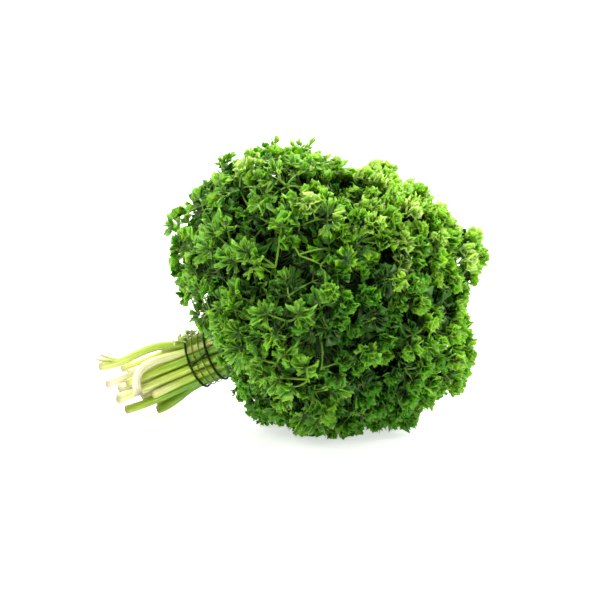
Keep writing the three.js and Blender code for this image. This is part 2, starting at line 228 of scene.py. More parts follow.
@dataclass
class Plan:
    """The dimensions that the solids are laid out with, and the sprigs and fans that they give."""

    head_centre: Vector = field(default_factory=lambda: Vector((26, 0, 82)))
    head_radius: float = 84
    head: Axis = Axis(31)
    head_reach: float = 156
    bundle: Axis = Axis(24)
    tie_distance: float = 88
    seed: int = 64
    fan_count: int = 128
    spiral_start: float = 68
    fan_depth: float = 7
    surface_spread: float = 3.5
    depth_spread: float = 2
    ridge_run: float = 0.5
    plane_turn: float = 10
    plane_lean: float = 12
    leafward: float = 0.5
    ridges: tuple[Ridge, ...] = (
        Ridge(159, 13, 24), Ridge(124, 14, 26), Ridge(81, -18, 10), Ridge(17, 14, 12),
        Ridge(-36, 16, 22), Ridge(-92, 6, 26),
    )
    rings: tuple[Ring, ...] = (
        Ring(40, 3.0, 3.8, 27, 0, 27, 46, (44, 52, 38, 49)),
        Ring(12, 7.9, 4.8, 65, 5, 64, 50, (52, 45, 55, 41, 50, 46, 62, 58, 66)),
        Ring(4, 13.2, 5.1, 118, 16, 108, 58,
             (25, 57, 44, 52, 47, 55, 49, 43, 42, 59, 37, 58, 49, 42, 64.6)),
    )
    strays: dict[int, Stray] = field(default_factory=lambda: {
        0: Stray(tone=-0.15, shoot=True),
        1: Stray(lift=-1, bow=-2, tone=0.25),
        7: Stray(lift=-1, bow=-2, tone=0.5),
        8: Stray(lift=-3, bow=-3, tone=0.7),
        9: Stray(lift=2, bow=-2, tone=0.3),
        10: Stray(tone=0.12),
        11: Stray(tone=-0.1),
        12: Stray(tone=0.1),
        13: Stray(lift=-14, front=12, bow=18, run=13, tone=-0.5),
        14: Stray(lift=6, bow=-3, run=4, heave=13, split=True, tone=0.05),
    })
    bulges: tuple[Ridge, ...] = (
        Ridge(160, 12, 5), Ridge(190, -10, 7), Ridge(226, 6, 4), Ridge(241, 8, 5),
        Ridge(250, -8, 6), Ridge(272, -3, 8), Ridge(302, 8, 6), Ridge(313, -7, 5),
        Ridge(14, 4, 7), Ridge(24, -6, 4), Ridge(41, 6, 4), Ridge(90, -5, 7),
    )
    surface_steps: int = 12
    far_scale: float = 4.5
    far_seed: float = 9.7
    far_from: float = 0.26
    far_rise: float = 8
    far_most: float = 0.6
    spot_count: int = 600
    cell_angle: float = 0.17
    patches: dict[Growth, tuple[Patch, ...]] = field(default_factory=lambda: {
        Growth.BARE: (
            Patch(-23, 14, 13), Patch(-61, 17, 12), Patch(-38, 28, 13), Patch(-50, 12, 9),
            Patch(-57, 46, 9), Patch(-23, -8, 13), Patch(-22, -22, 10), Patch(-28, -39, 10),
            Patch(-14, -49, 11), Patch(-19, -60, 8), Patch(3, -31, 13), Patch(27, -21, 11),
            Patch(12, -60, 8), Patch(-42, -38, 10), Patch(14, 5, 11), Patch(33, 15, 11),
            Patch(71, -6, 10), Patch(10, 62, 10), Patch(-13, 26, 12), Patch(44, -49, 8),
            Patch(33, -56, 8), Patch(47, -23, 8), Patch(65, 3, 7), Patch(18, -14, 9),
            Patch(36, -8, 8), Patch(-70, -36, 8), Patch(-67, -43, 8), Patch(-63, -49, 6),
        ),
        Growth.YOUNG: (
            Patch(-7, -62, 8), Patch(-29, -59, 5), Patch(82, 22, 7), Patch(28, 77, 5),
            Patch(19, 53, 5), Patch(48, 16, 5), Patch(40, 6, 4), Patch(-50, 74, 6),
        ),
        # Painted shade: spots where the leaflets are coloured darker.
        Growth.SHADED: (
            Patch(14, 3, 24), Patch(9, -59, 22), Patch(-12, -24, 18), Patch(26, -20, 24),
            Patch(30, -58, 20), Patch(55, -44, 14),
        ),
        Growth.OVERTURNED: (
            Patch(-18, 34, 7), Patch(6, 20, 9), Patch(20, 24, 7),
        ),
    })
    sprays: tuple[Spray, ...] = (
        Spray((-32, 14), ((-27, 37), (-46, 22), (-55, 17))),
        Spray((-57, 23), ((-59, 35), (-68, 23), (-65, 32))),
        Spray((-52, -23), ((-55, -10), (-60, -16), (-59, -22))),
        Spray((-25, -19), ((-17, -14), (-35, -14), (-30, -26))),
        Spray((-43, -30), ((-52, -25), (-55, -32), (-50, -36))),
        Spray((-31, -45), ((-25, -37), (-37, -48), (-39, -41))),
        Spray((-12, -55), ((-21, -57), (-28, -52), (-12, -45))),
        Spray((-9, -67), ((-6, -77), (-2, -70), (-14, -74))),
    )
    sprigs: list[Sprig] = field(default_factory=list)
    fans: list[Fan] = field(default_factory=list)

    def __post_init__(self) -> None:
        """Lays out the sprigs and the fans."""
        self.tie_centre = self.head_centre - self.head.along * self.tie_distance
        turn, lean = math.radians(self.plane_turn), math.radians(self.plane_lean)
        self.plane_forward = Vector((math.cos(turn), math.sin(turn), 0))
        self.plane_upward = Vector(
            (-math.sin(turn) * math.sin(lean), math.cos(turn) * math.sin(lean), math.cos(lean))
        )
        self.plane_square = self.plane_upward.cross(self.plane_forward)
        self.plan_sprigs()
        self.plan_fans()
        self.plan_spots()

    def head_direction(self, polar: float, turn: float) -> Vector:
        """The direction from the head's centre.

        Args:
            polar: The angle from the head's far pole, in radians.
            turn: The turn about the head's axis, in radians.

        Returns:
            The unit direction.
        """
        side = turned(self.head.rise, ACROSS, turn)
        return turned(self.head.along, side, polar)

    def ridge_height(self, direction: Vector, ridges: tuple[Ridge, ...]) -> float:
        """How much some ridges add in a direction.

        Args:
            direction: The way from the head's centre.
            ridges: The ridges.

        Returns:
            The height in millimetres, less than 0 in a valley.
        """
        flattened = direction - self.plane_square * (self.ridge_run * direction.dot(self.plane_square))
        height = 0.0
        for ridge in ridges:
            crest = turned(self.plane_forward, self.plane_upward, math.radians(ridge.at))
            share = flattened.angle(crest) / math.radians(ridge.width)
            height += ridge.out * math.exp(-share * share)
        return height

    def surface_radius(self, direction: Vector) -> float:
        """How far the solids' head reaches from its centre in a direction, in millimetres."""
        return self.head_radius + self.ridge_height(direction, self.ridges)

    def leaflet_radius(self, direction: Vector) -> float:
        """How far the leaflets reach, which stand out in bulges of their own."""
        return self.surface_radius(direction) + self.ridge_height(direction, self.bulges)

    def plan_sprigs(self) -> None:
        """One sprig for each stem in the tie, ring by ring from the middle out."""
        for ring in self.rings:
            count = len(ring.cuts)
            for i, cut in enumerate(ring.cuts):
                turn = math.radians(ring.turn) + i / count * 2 * math.pi
                shift = ring.zigzag * (1 if i % 2 == 0 else -1)
                outward = turned(self.bundle.rise, ACROSS, turn)
                fork_way = self.head_direction(math.radians(ring.fork + shift), turn)
                stray = self.strays.get(i, Stray()) if ring is self.rings[-1] else Stray()
                self.sprigs.append(Sprig(
                    ring=ring,
                    cut=cut,
                    stray=stray,
                    facing=self.head_direction(math.radians(ring.leaf + shift), turn),
                    outward=outward,
                    slot=self.tie_centre + outward * ring.slot_radius,
                    fork=self.head_centre + fork_way * ring.fork_radius,
                ))

    def plan_fans(self) -> None:
        """Fans on a golden-angle spiral, each given to the sprig that faces its way."""
        draws = Draws(self.seed)
        covered = 1 - math.cos(math.radians(self.head_reach))
        for i in range(self.fan_count):
            polar = math.acos(1 - (i + 0.5) / self.fan_count * covered)
            facing = self.head_direction(polar, math.radians(self.spiral_start) + i * GOLDEN_ANGLE)
            radius = self.surface_radius(facing) + draws.spread(self.surface_spread)
            depth = self.fan_depth + draws.spread(self.depth_spread)
            draws.draw()  # the solids' fan is turned by this one
            nearest = max(self.sprigs, key=lambda sprig: sprig.facing.dot(facing))
            fan = Fan(facing, radius, depth, facing.angle(nearest.facing))
            nearest.fans.append(fan)
            self.fans.append(fan)

    def plan_spots(self) -> None:
        """Spots for the posies on a finer spiral and for the sprays, each given to the fan at it."""
        covered = 1 - math.cos(math.radians(self.head_reach))
        for i in range(self.spot_count):
            polar = math.acos(1 - (i + 0.5) / self.spot_count * covered)
            way = self.head_direction(polar, i * GOLDEN_ANGLE)
            self.fan_at(way).spots.append(way)
        for spray in self.sprays:
            self.fan_at(self.near_way(*spray.node)).sprays.append(spray)

    def fan_at(self, way: Vector) -> Fan:
        """The fan that faces a way most nearly."""
        return max(self.fans, key=lambda fan: fan.facing.dot(way))

    def growth(self, growth: Growth, way: Vector) -> float:
        """How strongly the leaflets that grow one way are of a kind: by the patches on the near side, and
        by soft noise on the far one.

        Args:
            growth: The kind.
            way: The way from the head's centre.

        Returns:
            From 0 for not at all to 1 for wholly.
        """
        place = way * self.surface_radius(way)
        if place.dot(self.plane_square) > 0:
            seed = Vector((list(Growth).index(growth) * self.far_seed, 0, 0))
            wave = noise.noise(way * self.far_scale + seed)
            return min(max((wave - self.far_from) * self.far_rise, 0), self.far_most)
        right, up = place.dot(self.plane_forward), place.dot(self.plane_upward)
        strength = 0.0
        for patch in self.patches[growth]:
            off = math.hypot(right - patch.right, up - patch.up) / patch.width
            strength = max(strength, math.exp(-off * off))
        return strength

    def near_way(self, right: float, up: float) -> Vector:
        """The way from the head's centre to the near surface at a place in the middle plane.

        Args:
            right: How far to the right the place is, in millimetres.
            up: How far up it is.

        Returns:
            The unit direction.
        """
        flat = self.plane_forward * right + self.plane_upward * up
        way = -self.plane_square
        for _ in range(self.surface_steps):
            reach = self.leaflet_radius(way)
            way = (flat - self.plane_square * math.sqrt(max(reach**2 - flat.length_squared, 0))).normalized()
        return way

    def arrival(self, sprig: Sprig) -> Vector:
        """The way a stem points as it reaches its fork."""
        onward = (sprig.fork - self.tie_centre).normalized()
        return (onward + sprig.facing * self.leafward).normalized()


# --- mesh helpers ---------------------------------------------------------------------------------------


def aimed(forward: Vector, top: Vector) -> Matrix:
    """A turn that takes +X to forward and +Z as near as it can to top.

    Args:
        forward: Where +X goes, a unit direction.
        top: What +Z comes nearest to.

    Returns:
        The turn, as a 4 by 4 matrix.
    """
    side = top.cross(forward).normalized()
    upper = forward.cross(side)
    return Matrix((forward, side, upper)).transposed().to_4x4()


def sweep(bm: bmesh.types.BMesh, path: list[Vector], radii: list[float], sides: int,
          groove: float = 0, flat: float = 1) -> list[list[bmesh.types.BMVert]]:
    """A closed tube along a path, drawn out ring by ring from one circle.

    Its vertices get their way round the tube in the layers round_x and round_y.

    Args:
        bm: The mesh that the tube is added to.
        path: The points of its centre line.
        radii: Its radius at each of them.
        sides: How many sides it has.
        groove: How far every other side line is sunk, as a share of the radius.
        flat: Its height as a share of its width.

    Returns:
        The vertices of each ring.
    """
    layers = bm.verts.layers.float
    round_x, round_y = (layers.get(name) or layers.new(name) for name in ("round_x", "round_y"))
    ways = [(path[min(i + 1, len(path) - 1)] - path[max(i - 1, 0)]).normalized() for i in range(len(path))]
    top = UP if abs(ways[0].z) < 0.9 else ACROSS
    places = []
    for point, way, radius in zip(path, ways, radii):
        turn = aimed(way, top)
        top = turn.to_3x3() @ UP
        size = Matrix.Diagonal((1, radius, radius * flat, 1))
        places.append(Matrix.Translation(point) @ turn @ size)
    upright = Matrix.Rotation(math.pi / 2, 4, "Y")
    verts = bmesh.ops.create_circle(bm, segments=sides, radius=1, matrix=upright)["verts"]
    for i, vert in enumerate(verts):
        vert.co *= 1 - groove * (i % 2)
    rings = [verts]
    edges = list({edge for vert in verts for edge in vert.link_edges})
    bmesh.ops.contextual_create(bm, geom=edges)
    before = Matrix()
    for i, after in enumerate(places):
        if i > 0:
            grown = bmesh.ops.extrude_edge_only(bm, edges=edges)["geom"]
            verts = [item for item in grown if isinstance(item, bmesh.types.BMVert)]
            edges = [item for item in grown if isinstance(item, bmesh.types.BMEdge)]
            rings.append(verts)
        bmesh.ops.transform(bm, matrix=after @ before.inverted(), verts=verts)
        before = after
        for vert in verts:
            place = after.inverted() @ vert.co
            vert[round_x], vert[round_y] = place.y, place.z
    bmesh.ops.contextual_create(bm, geom=edges)
    return rings


def mesh_from(bm: bmesh.types.BMesh, name: str) -> bpy.types.Mesh:
    """Finishes a mesh, smooth shaded, and frees the bmesh that it comes from.

    Args:
        bm: The bmesh.
        name: The mesh's name.

    Returns:
        The mesh.
    """
    mesh = bpy.data.meshes.new(name)
    bm.to_mesh(mesh)
    bm.free()
    mesh.polygons.foreach_set("use_smooth", [True] * len(mesh.polygons))
    return mesh


@dataclass(frozen=True)
class Room:
    """The box that the bunch stays in, with a margin in which shapes are pressed flat against it."""

    low: Vector
    high: Vector
    margin: float = 0.8 * MM

    def press(self, mesh: bpy.types.Mesh) -> None:
        """Presses what would pass through a side of the room flat against it.

        Args:
            mesh: The mesh whose vertices are moved, in metres.
        """
        place = np.empty(len(mesh.vertices) * 3, np.float32)
        mesh.vertices.foreach_get("co", place)
        place = place.reshape(-1, 3).astype(np.float64)
        for axis in range(3):
            for wall, sign in ((self.high[axis], 1), (self.low[axis], -1)):
                past = sign * (place[:, axis] - wall) + self.margin
                over = past > 0
                pressed = self.margin * (np.exp(-past[over] / self.margin))
                place[over, axis] = wall - sign * pressed
        mesh.vertices.foreach_set("co", place.astype(np.float32).ravel())


# --- finishes -------------------------------------------------------------------------------------------


def linear(colour: str) -> tuple[float, float, float, float]:
    """An sRGB hex colour as linear red, green, blue and full alpha."""
    parts = [int(colour[i:i + 2], 16) / 255 for i in (1, 3, 5)]
    return (*(c / 12.92 if c <= 0.04045 else ((c + 0.055) / 1.055) ** 2.4 for c in parts), 1.0)


def add_node(tree: bpy.types.NodeTree, kind: str, inputs: dict[object, object] | None = None,
             output: object = 0, stops: tuple[tuple[float, str], ...] = (),
             **settings: object) -> bpy.types.NodeSocket:
    """Adds a node with its settings, and its inputs set or linked.

    Args:
        tree: The node tree that it goes in.
        kind: The node's type name.
        inputs: A value, or a socket to link from, for each input by name or number.
        output: The output that is wanted, by name or number.
        stops: The place and hex colour of each stop, on a node that has a colour ramp.
        settings: Its own properties by name.

    Returns:
        That output.
    """
    node = tree.nodes.new(kind)
    for name, value in settings.items():
        setattr(node, name, value)
    for name, value in (inputs or {}).items():
        if isinstance(value, bpy.types.NodeSocket):
            tree.links.new(value, node.inputs[name])
        else:
            node.inputs[name].default_value = value
    for _ in stops[2:]:
        node.color_ramp.elements.new(0.5)
    for i, (place, colour) in enumerate(stops):
        node.color_ramp.elements[i].position = place
        node.color_ramp.elements[i].color = linear(colour)
    return node.outputs[output]


def blank_material(name: str) -> tuple[bpy.types.Material, bpy.types.NodeTree, bpy.types.Node]:
    """Makes a material with one shader.

    Args:
        name: Its name.

    Returns:
        The material, its node tree and the shader's node.
    """
    material = bpy.data.materials.new(name)
    material.use_nodes = True
    tree = material.node_tree
    return material, tree, tree.nodes["Principled BSDF"]


@dataclass(frozen=True)
class LeafFinish:
    """Crisp parsley leaf: a waxy skin over soft green tissue, so it glints along its folds and lets
    light through where it is thin. Its veins are paler, and its underside is a dull grey green. Its
    green also carries painted light and shade: darker at each leaflet's base and lighter toward its
    teeth, and lighter or darker by the tone that each leaflet is given."""

    name: str = "crisped_parsley_leaf"
    shaded: str = "#071d01"
    deep: str = "#1e5602"
    middle: str = "#3a8002"
    bright: str = "#84b820"
    young: str = "#ccdc88"
    under: str = "#6f984a"
    vein: str = "#b2cc84"
    vein_count: int = 12
    vein_fineness: float = 14
    vein_strength: float = 0.8
    tip_light_gain: float = 0.46
    dullness: float = 0.7
    dullest: float = 0.4
    wrinkle_mm: float = 1.1
    wrinkle_depth_mm: float = 0.25
    mottle_mm: float = 5.0
    mottle_gain: float = 0.3

    def material(self) -> bpy.types.Material:
        """Builds the material."""
        material, tree, shader = blank_material(self.name)
        tone, along, across, below = (
            add_node(tree, "ShaderNodeAttribute", output="Fac", attribute_name=name)
            for name in ("tone", "along", "across", "below")
        )
        place = add_node(tree, "ShaderNodeTexCoord", output="Object")
        mottle = add_node(tree, "ShaderNodeTexNoise",
                          {"Vector": place, "Scale": 1 / (self.mottle_mm * MM), "Detail": 2.0})
        wrinkle = add_node(tree, "ShaderNodeTexNoise",
                           {"Vector": place, "Scale": 1 / (self.wrinkle_mm * MM), "Detail": 1.0})
        drift = add_node(tree, "ShaderNodeMath", {0: mottle, 1: self.mottle_gain, 2: -self.mottle_gain / 2},
                         operation="MULTIPLY_ADD")
        # Painted shade and light along each leaflet: darker at its base, lighter toward its teeth.
        edge = add_node(tree, "ShaderNodeMath", {0: along, 1: 2.0}, operation="POWER")
        edge = add_node(tree, "ShaderNodeMath", {0: edge, 1: self.tip_light_gain, 2: -0.22},
                        operation="MULTIPLY_ADD")
        tone = add_node(tree, "ShaderNodeMath", {0: tone, 1: drift}, operation="ADD")
        tone = add_node(tree, "ShaderNodeMath", {0: tone, 1: edge}, operation="ADD")
        # The tone ramp: its near-black shaded end is painted shade deep in the head. Its bright and young
        # stops hold the yellow green of young leaflets, paled toward white as painted highlight on the most
        # lit ones.
        colour = add_node(tree, "ShaderNodeValToRGB", {0: tone}, stops=(
            (0.0, self.shaded), (0.3, self.deep), (0.5, self.middle), (0.78, self.bright), (1.0, self.young),
        ))
        lines = add_node(tree, "ShaderNodeMath", {0: across, 1: self.vein_count / 2 * math.pi},
                         operation="MULTIPLY")
        lines = add_node(tree, "ShaderNodeMath", {0: lines}, operation="COSINE")
        lines = add_node(tree, "ShaderNodeMath", {0: lines}, operation="ABSOLUTE")
        lines = add_node(tree, "ShaderNodeMath", {0: lines, 1: self.vein_fineness}, operation="POWER")
        fade = add_node(tree, "ShaderNodeMath", {0: 1.0, 1: along}, operation="SUBTRACT")
        fade = add_node(tree, "ShaderNodeMath", {0: fade, 1: self.vein_strength}, operation="MULTIPLY")
        lines = add_node(tree, "ShaderNodeMath", {0: lines, 1: fade}, operation="MULTIPLY")
        colour = add_node(tree, "ShaderNodeMix", {0: lines, 6: colour, 7: linear(self.vein)}, 2,
                          data_type="RGBA")
        dull = add_node(tree, "ShaderNodeMath", {0: tone, 1: self.dullness}, operation="MULTIPLY")
        dull = add_node(tree, "ShaderNodeMath", {0: dull, 1: self.dullest}, operation="MINIMUM")
        dull = add_node(tree, "ShaderNodeMath", {0: below, 1: dull}, operation="MULTIPLY")
        colour = add_node(tree, "ShaderNodeMix", {0: dull, 6: colour, 7: linear(self.under)}, 2,
                          data_type="RGBA")
        height = add_node(tree, "ShaderNodeMath", {0: wrinkle, 1: lines}, operation="ADD")
        bump = add_node(tree, "ShaderNodeBump",
                        {"Height": height, "Distance": self.wrinkle_depth_mm * MM, "Strength": 0.6})
        tree.links.new(colour, shader.inputs["Base Color"])
        tree.links.new(bump, shader.inputs["Normal"])
        shader.inputs["Roughness"].default_value = 0.26
        shader.inputs["IOR"].default_value = 1.4
        shader.inputs["Specular IOR Level"].default_value = 0.14
        shader.inputs["Subsurface Weight"].default_value = 0.35
        shader.inputs["Subsurface Radius"].default_value = (0.7, 1.0, 0.2)
        shader.inputs["Subsurface Scale"].default_value = 0.9 * MM
        return material


@dataclass(frozen=True)
class StalkFinish:
    """Parsley stem, as grown and cut: smooth moist skin drawn over fine lengthwise ribs, green where it
    leaves the leaves, bleached to cream at its foot and browned where it was cut."""

    name: str = "ribbed_parsley_stem"
    leaf_green: str = "#6f9c24"
    green: str = "#a6c036"
    pale_green: str = "#cdd670"
    pale: str = "#f0e6c2"
    groove: str = "#4f7418"
    cut: str = "#7b6a34"
    rib_count: int = 11
    rib_depth_mm: float = 0.12
    browning: float = 0.75
    streak_mm: float = 0.9
    streak_gain: float = 0.9

    def material(self) -> bpy.types.Material:
        """Builds the material."""
        material, tree, shader = blank_material(self.name)
        round_x, round_y, along, tone, cut = (
            add_node(tree, "ShaderNodeAttribute", output="Fac", attribute_name=name)
            for name in ("round_x", "round_y", "along", "tone", "cut")
        )
        skin = add_node(tree, "ShaderNodeCombineXYZ", {0: round_x, 1: round_y, 2: along})
        streak = add_node(tree, "ShaderNodeTexNoise",
                          {"Vector": skin, "Scale": 2.4 / self.streak_mm, "Detail": 3.0})
        drift = add_node(tree, "ShaderNodeMath", {0: streak, 1: self.streak_gain, 2: -self.streak_gain / 2},
                         operation="MULTIPLY_ADD")
        tone = add_node(tree, "ShaderNodeMath", {0: tone, 1: drift}, operation="ADD")
        colour = add_node(tree, "ShaderNodeValToRGB", {0: tone}, stops=(
            (0.0, self.pale), (0.38, self.pale_green), (0.72, self.green), (1.0, self.leaf_green),
        ))
        turn = add_node(tree, "ShaderNodeMath", {0: round_y, 1: round_x}, operation="ARCTAN2")
        turn = add_node(tree, "ShaderNodeMath", {0: turn, 1: self.rib_count}, operation="MULTIPLY")
        ribs = add_node(tree, "ShaderNodeMath", {0: turn}, operation="SINE")
        dark = add_node(tree, "ShaderNodeMath", {0: ribs, 1: -0.1, 2: 0.12}, operation="MULTIPLY_ADD")
        colour = add_node(tree, "ShaderNodeMix", {0: dark, 6: colour, 7: linear(self.groove)}, 2,
                          data_type="RGBA")
        browned = add_node(tree, "ShaderNodeMath", {0: cut, 1: self.browning}, operation="MULTIPLY")
        colour = add_node(tree, "ShaderNodeMix", {0: browned, 6: colour, 7: linear(self.cut)}, 2,
                          data_type="RGBA")
        height = add_node(tree, "ShaderNodeMath", {0: ribs, 1: streak}, operation="ADD")
        bump = add_node(tree, "ShaderNodeBump",
                        {"Height": height, "Distance": self.rib_depth_mm * MM, "Strength": 0.5})
        tree.links.new(colour, shader.inputs["Base Color"])
        tree.links.new(bump, shader.inputs["Normal"])
        shader.inputs["Roughness"].default_value = 0.3
        shader.inputs["IOR"].default_value = 1.4
        shader.inputs["Subsurface Weight"].default_value = 0.25
        shader.inputs["Subsurface Radius"].default_value = (1.0, 1.0, 0.4)
        shader.inputs["Subsurface Scale"].default_value = 1.2 * MM
        return material


@dataclass(frozen=True)
class TieFinish:
    """Covered elastic thread, wound on tight: twisted dark olive yarn with a dull satin, which lets its
    pale core through where it is stretched thin."""

    name: str = "olive_elastic_thread"
    dark: str = "#101a02"
    light: str = "#28400a"
    stretched: str = "#71852c"
    stretched_share: float = 0.75
    twists: int = 44
    strands: int = 2
    strand_depth_mm: float = 0.15

    def material(self) -> bpy.types.Material:
        """Builds the material."""
        material, tree, shader = blank_material(self.name)
        turn_x, turn_y, round_x, round_y, thin = (
            add_node(tree, "ShaderNodeAttribute", output="Fac", attribute_name=name)
            for name in ("turn_x", "turn_y", "round_x", "round_y", "thin")
        )
        turn = add_node(tree, "ShaderNodeMath", {0: turn_y, 1: turn_x}, operation="ARCTAN2")
        turn = add_node(tree, "ShaderNodeMath", {0: turn, 1: self.twists}, operation="MULTIPLY")
        about = add_node(tree, "ShaderNodeMath", {0: round_y, 1: round_x}, operation="ARCTAN2")
        about = add_node(tree, "ShaderNodeMath", {0: about, 1: self.strands}, operation="MULTIPLY")
        strand = add_node(tree, "ShaderNodeMath", {0: turn, 1: about}, operation="ADD")
        strand = add_node(tree, "ShaderNodeMath", {0: strand}, operation="SINE")
        share = add_node(tree, "ShaderNodeMath", {0: strand, 1: 0.5, 2: 0.5}, operation="MULTIPLY_ADD")
        colour = add_node(tree, "ShaderNodeValToRGB", {0: share},
                          stops=((0.0, self.dark), (1.0, self.light)))
        thin = add_node(tree, "ShaderNodeMath", {0: thin, 1: self.stretched_share}, operation="MULTIPLY")
        colour = add_node(tree, "ShaderNodeMix", {0: thin, 6: colour, 7: linear(self.stretched)}, 2,
                          data_type="RGBA")
        bump = add_node(tree, "ShaderNodeBump",
                        {"Height": strand, "Distance": self.strand_depth_mm * MM, "Strength": 0.7})
        tree.links.new(colour, shader.inputs["Base Color"])
        tree.links.new(bump, shader.inputs["Normal"])
        shader.inputs["Roughness"].default_value = 0.6
        shader.inputs["IOR"].default_value = 1.45
        shader.inputs["Specular IOR Level"].default_value = 0.1
        return material


@dataclass(frozen=True)
class FloorFinish:
    """White acrylic sheet, cast, lightly polished and lit from below: bright, with a weak reflection."""

    name: str = "white_acrylic_sheet"
    colour: str = "#f7f8f7"
    glow: float = 0.66

    def material(self) -> bpy.types.Material:
        """Builds the material."""
        material, _, shader = blank_material(self.name)
        shader.inputs["Base Color"].default_value = linear(self.colour)
        shader.inputs["Emission Color"].default_value = linear(self.colour)
        shader.inputs["Emission Strength"].default_value = self.glow
        shader.inputs["Roughness"].default_value = 0.28
        shader.inputs["IOR"].default_value = 1.3
        return material


# --- leaflets -------------------------------------------------------------------------------------------


class Habit(Enum):
    """How a leaflet grows."""

    OPEN = "open"
    CRISPED = "crisped"
    TUFT = "tuft"
    INNER = "inner"


@dataclass(frozen=True)
class LeafletCut:
    """How one kind of leaflet is cut and crisped, with lengths as shares of its own length."""

    lobes: int
    teeth: int
    rows: tuple[float, ...]
    half_angle: float
    lobe_notch: float
    lobe_drop: float
    lobe_width: float
    tooth_notch: float
    waves: float
    wave_height: float
    curl: float
    cup: float
    fold: float
    tip_lift: float

    @property
    def columns(self) -> int:
        """Three for each tooth: two at its blunt tip and one in the notch beside it."""
        return self.lobes * self.lobe_columns

    @property
    def lobe_columns(self) -> int:
        """The columns of one lobe."""
        return self.teeth * 3

    def between_lobes(self, column: int) -> bool:
        """Whether a column is at the foot of the cut between two lobes."""
        return column % self.lobe_columns == 0 and 0 < column < self.columns


CUTS = {
    Habit.OPEN: LeafletCut(
        lobes=3, teeth=4, rows=(0, 0.5, 1), half_angle=68, lobe_notch=0.22, lobe_drop=0.3, lobe_width=0.64,
        tooth_notch=0.7, waves=4.5, wave_height=0.14, curl=0.5, cup=-0.02, fold=0.2, tip_lift=0.08,
    ),
    Habit.CRISPED: LeafletCut(
        lobes=3, teeth=4, rows=(0, 0.5, 1), half_angle=112, lobe_notch=0.3, lobe_drop=0.24, lobe_width=0.72,
        tooth_notch=0.68, waves=6.5, wave_height=0.28, curl=1.2, cup=0.2, fold=0.16, tip_lift=0.12,
    ),
    Habit.TUFT: LeafletCut(
        lobes=3, teeth=2, rows=(0, 0.4, 1), half_angle=88, lobe_notch=0.36, lobe_drop=0.2, lobe_width=0.74,
        tooth_notch=0.66, waves=3.5, wave_height=0.18, curl=0.6, cup=0.1, fold=0.16, tip_lift=0.12,
    ),
    Habit.INNER: LeafletCut(
        lobes=3, teeth=1, rows=(0, 0.5, 1), half_angle=62, lobe_notch=0.5, lobe_drop=0.16, lobe_width=0.9,
        tooth_notch=0.7, waves=2.5, wave_height=0.14, curl=0.3, cup=0.02, fold=0.1, tip_lift=0.08,
    ),
}


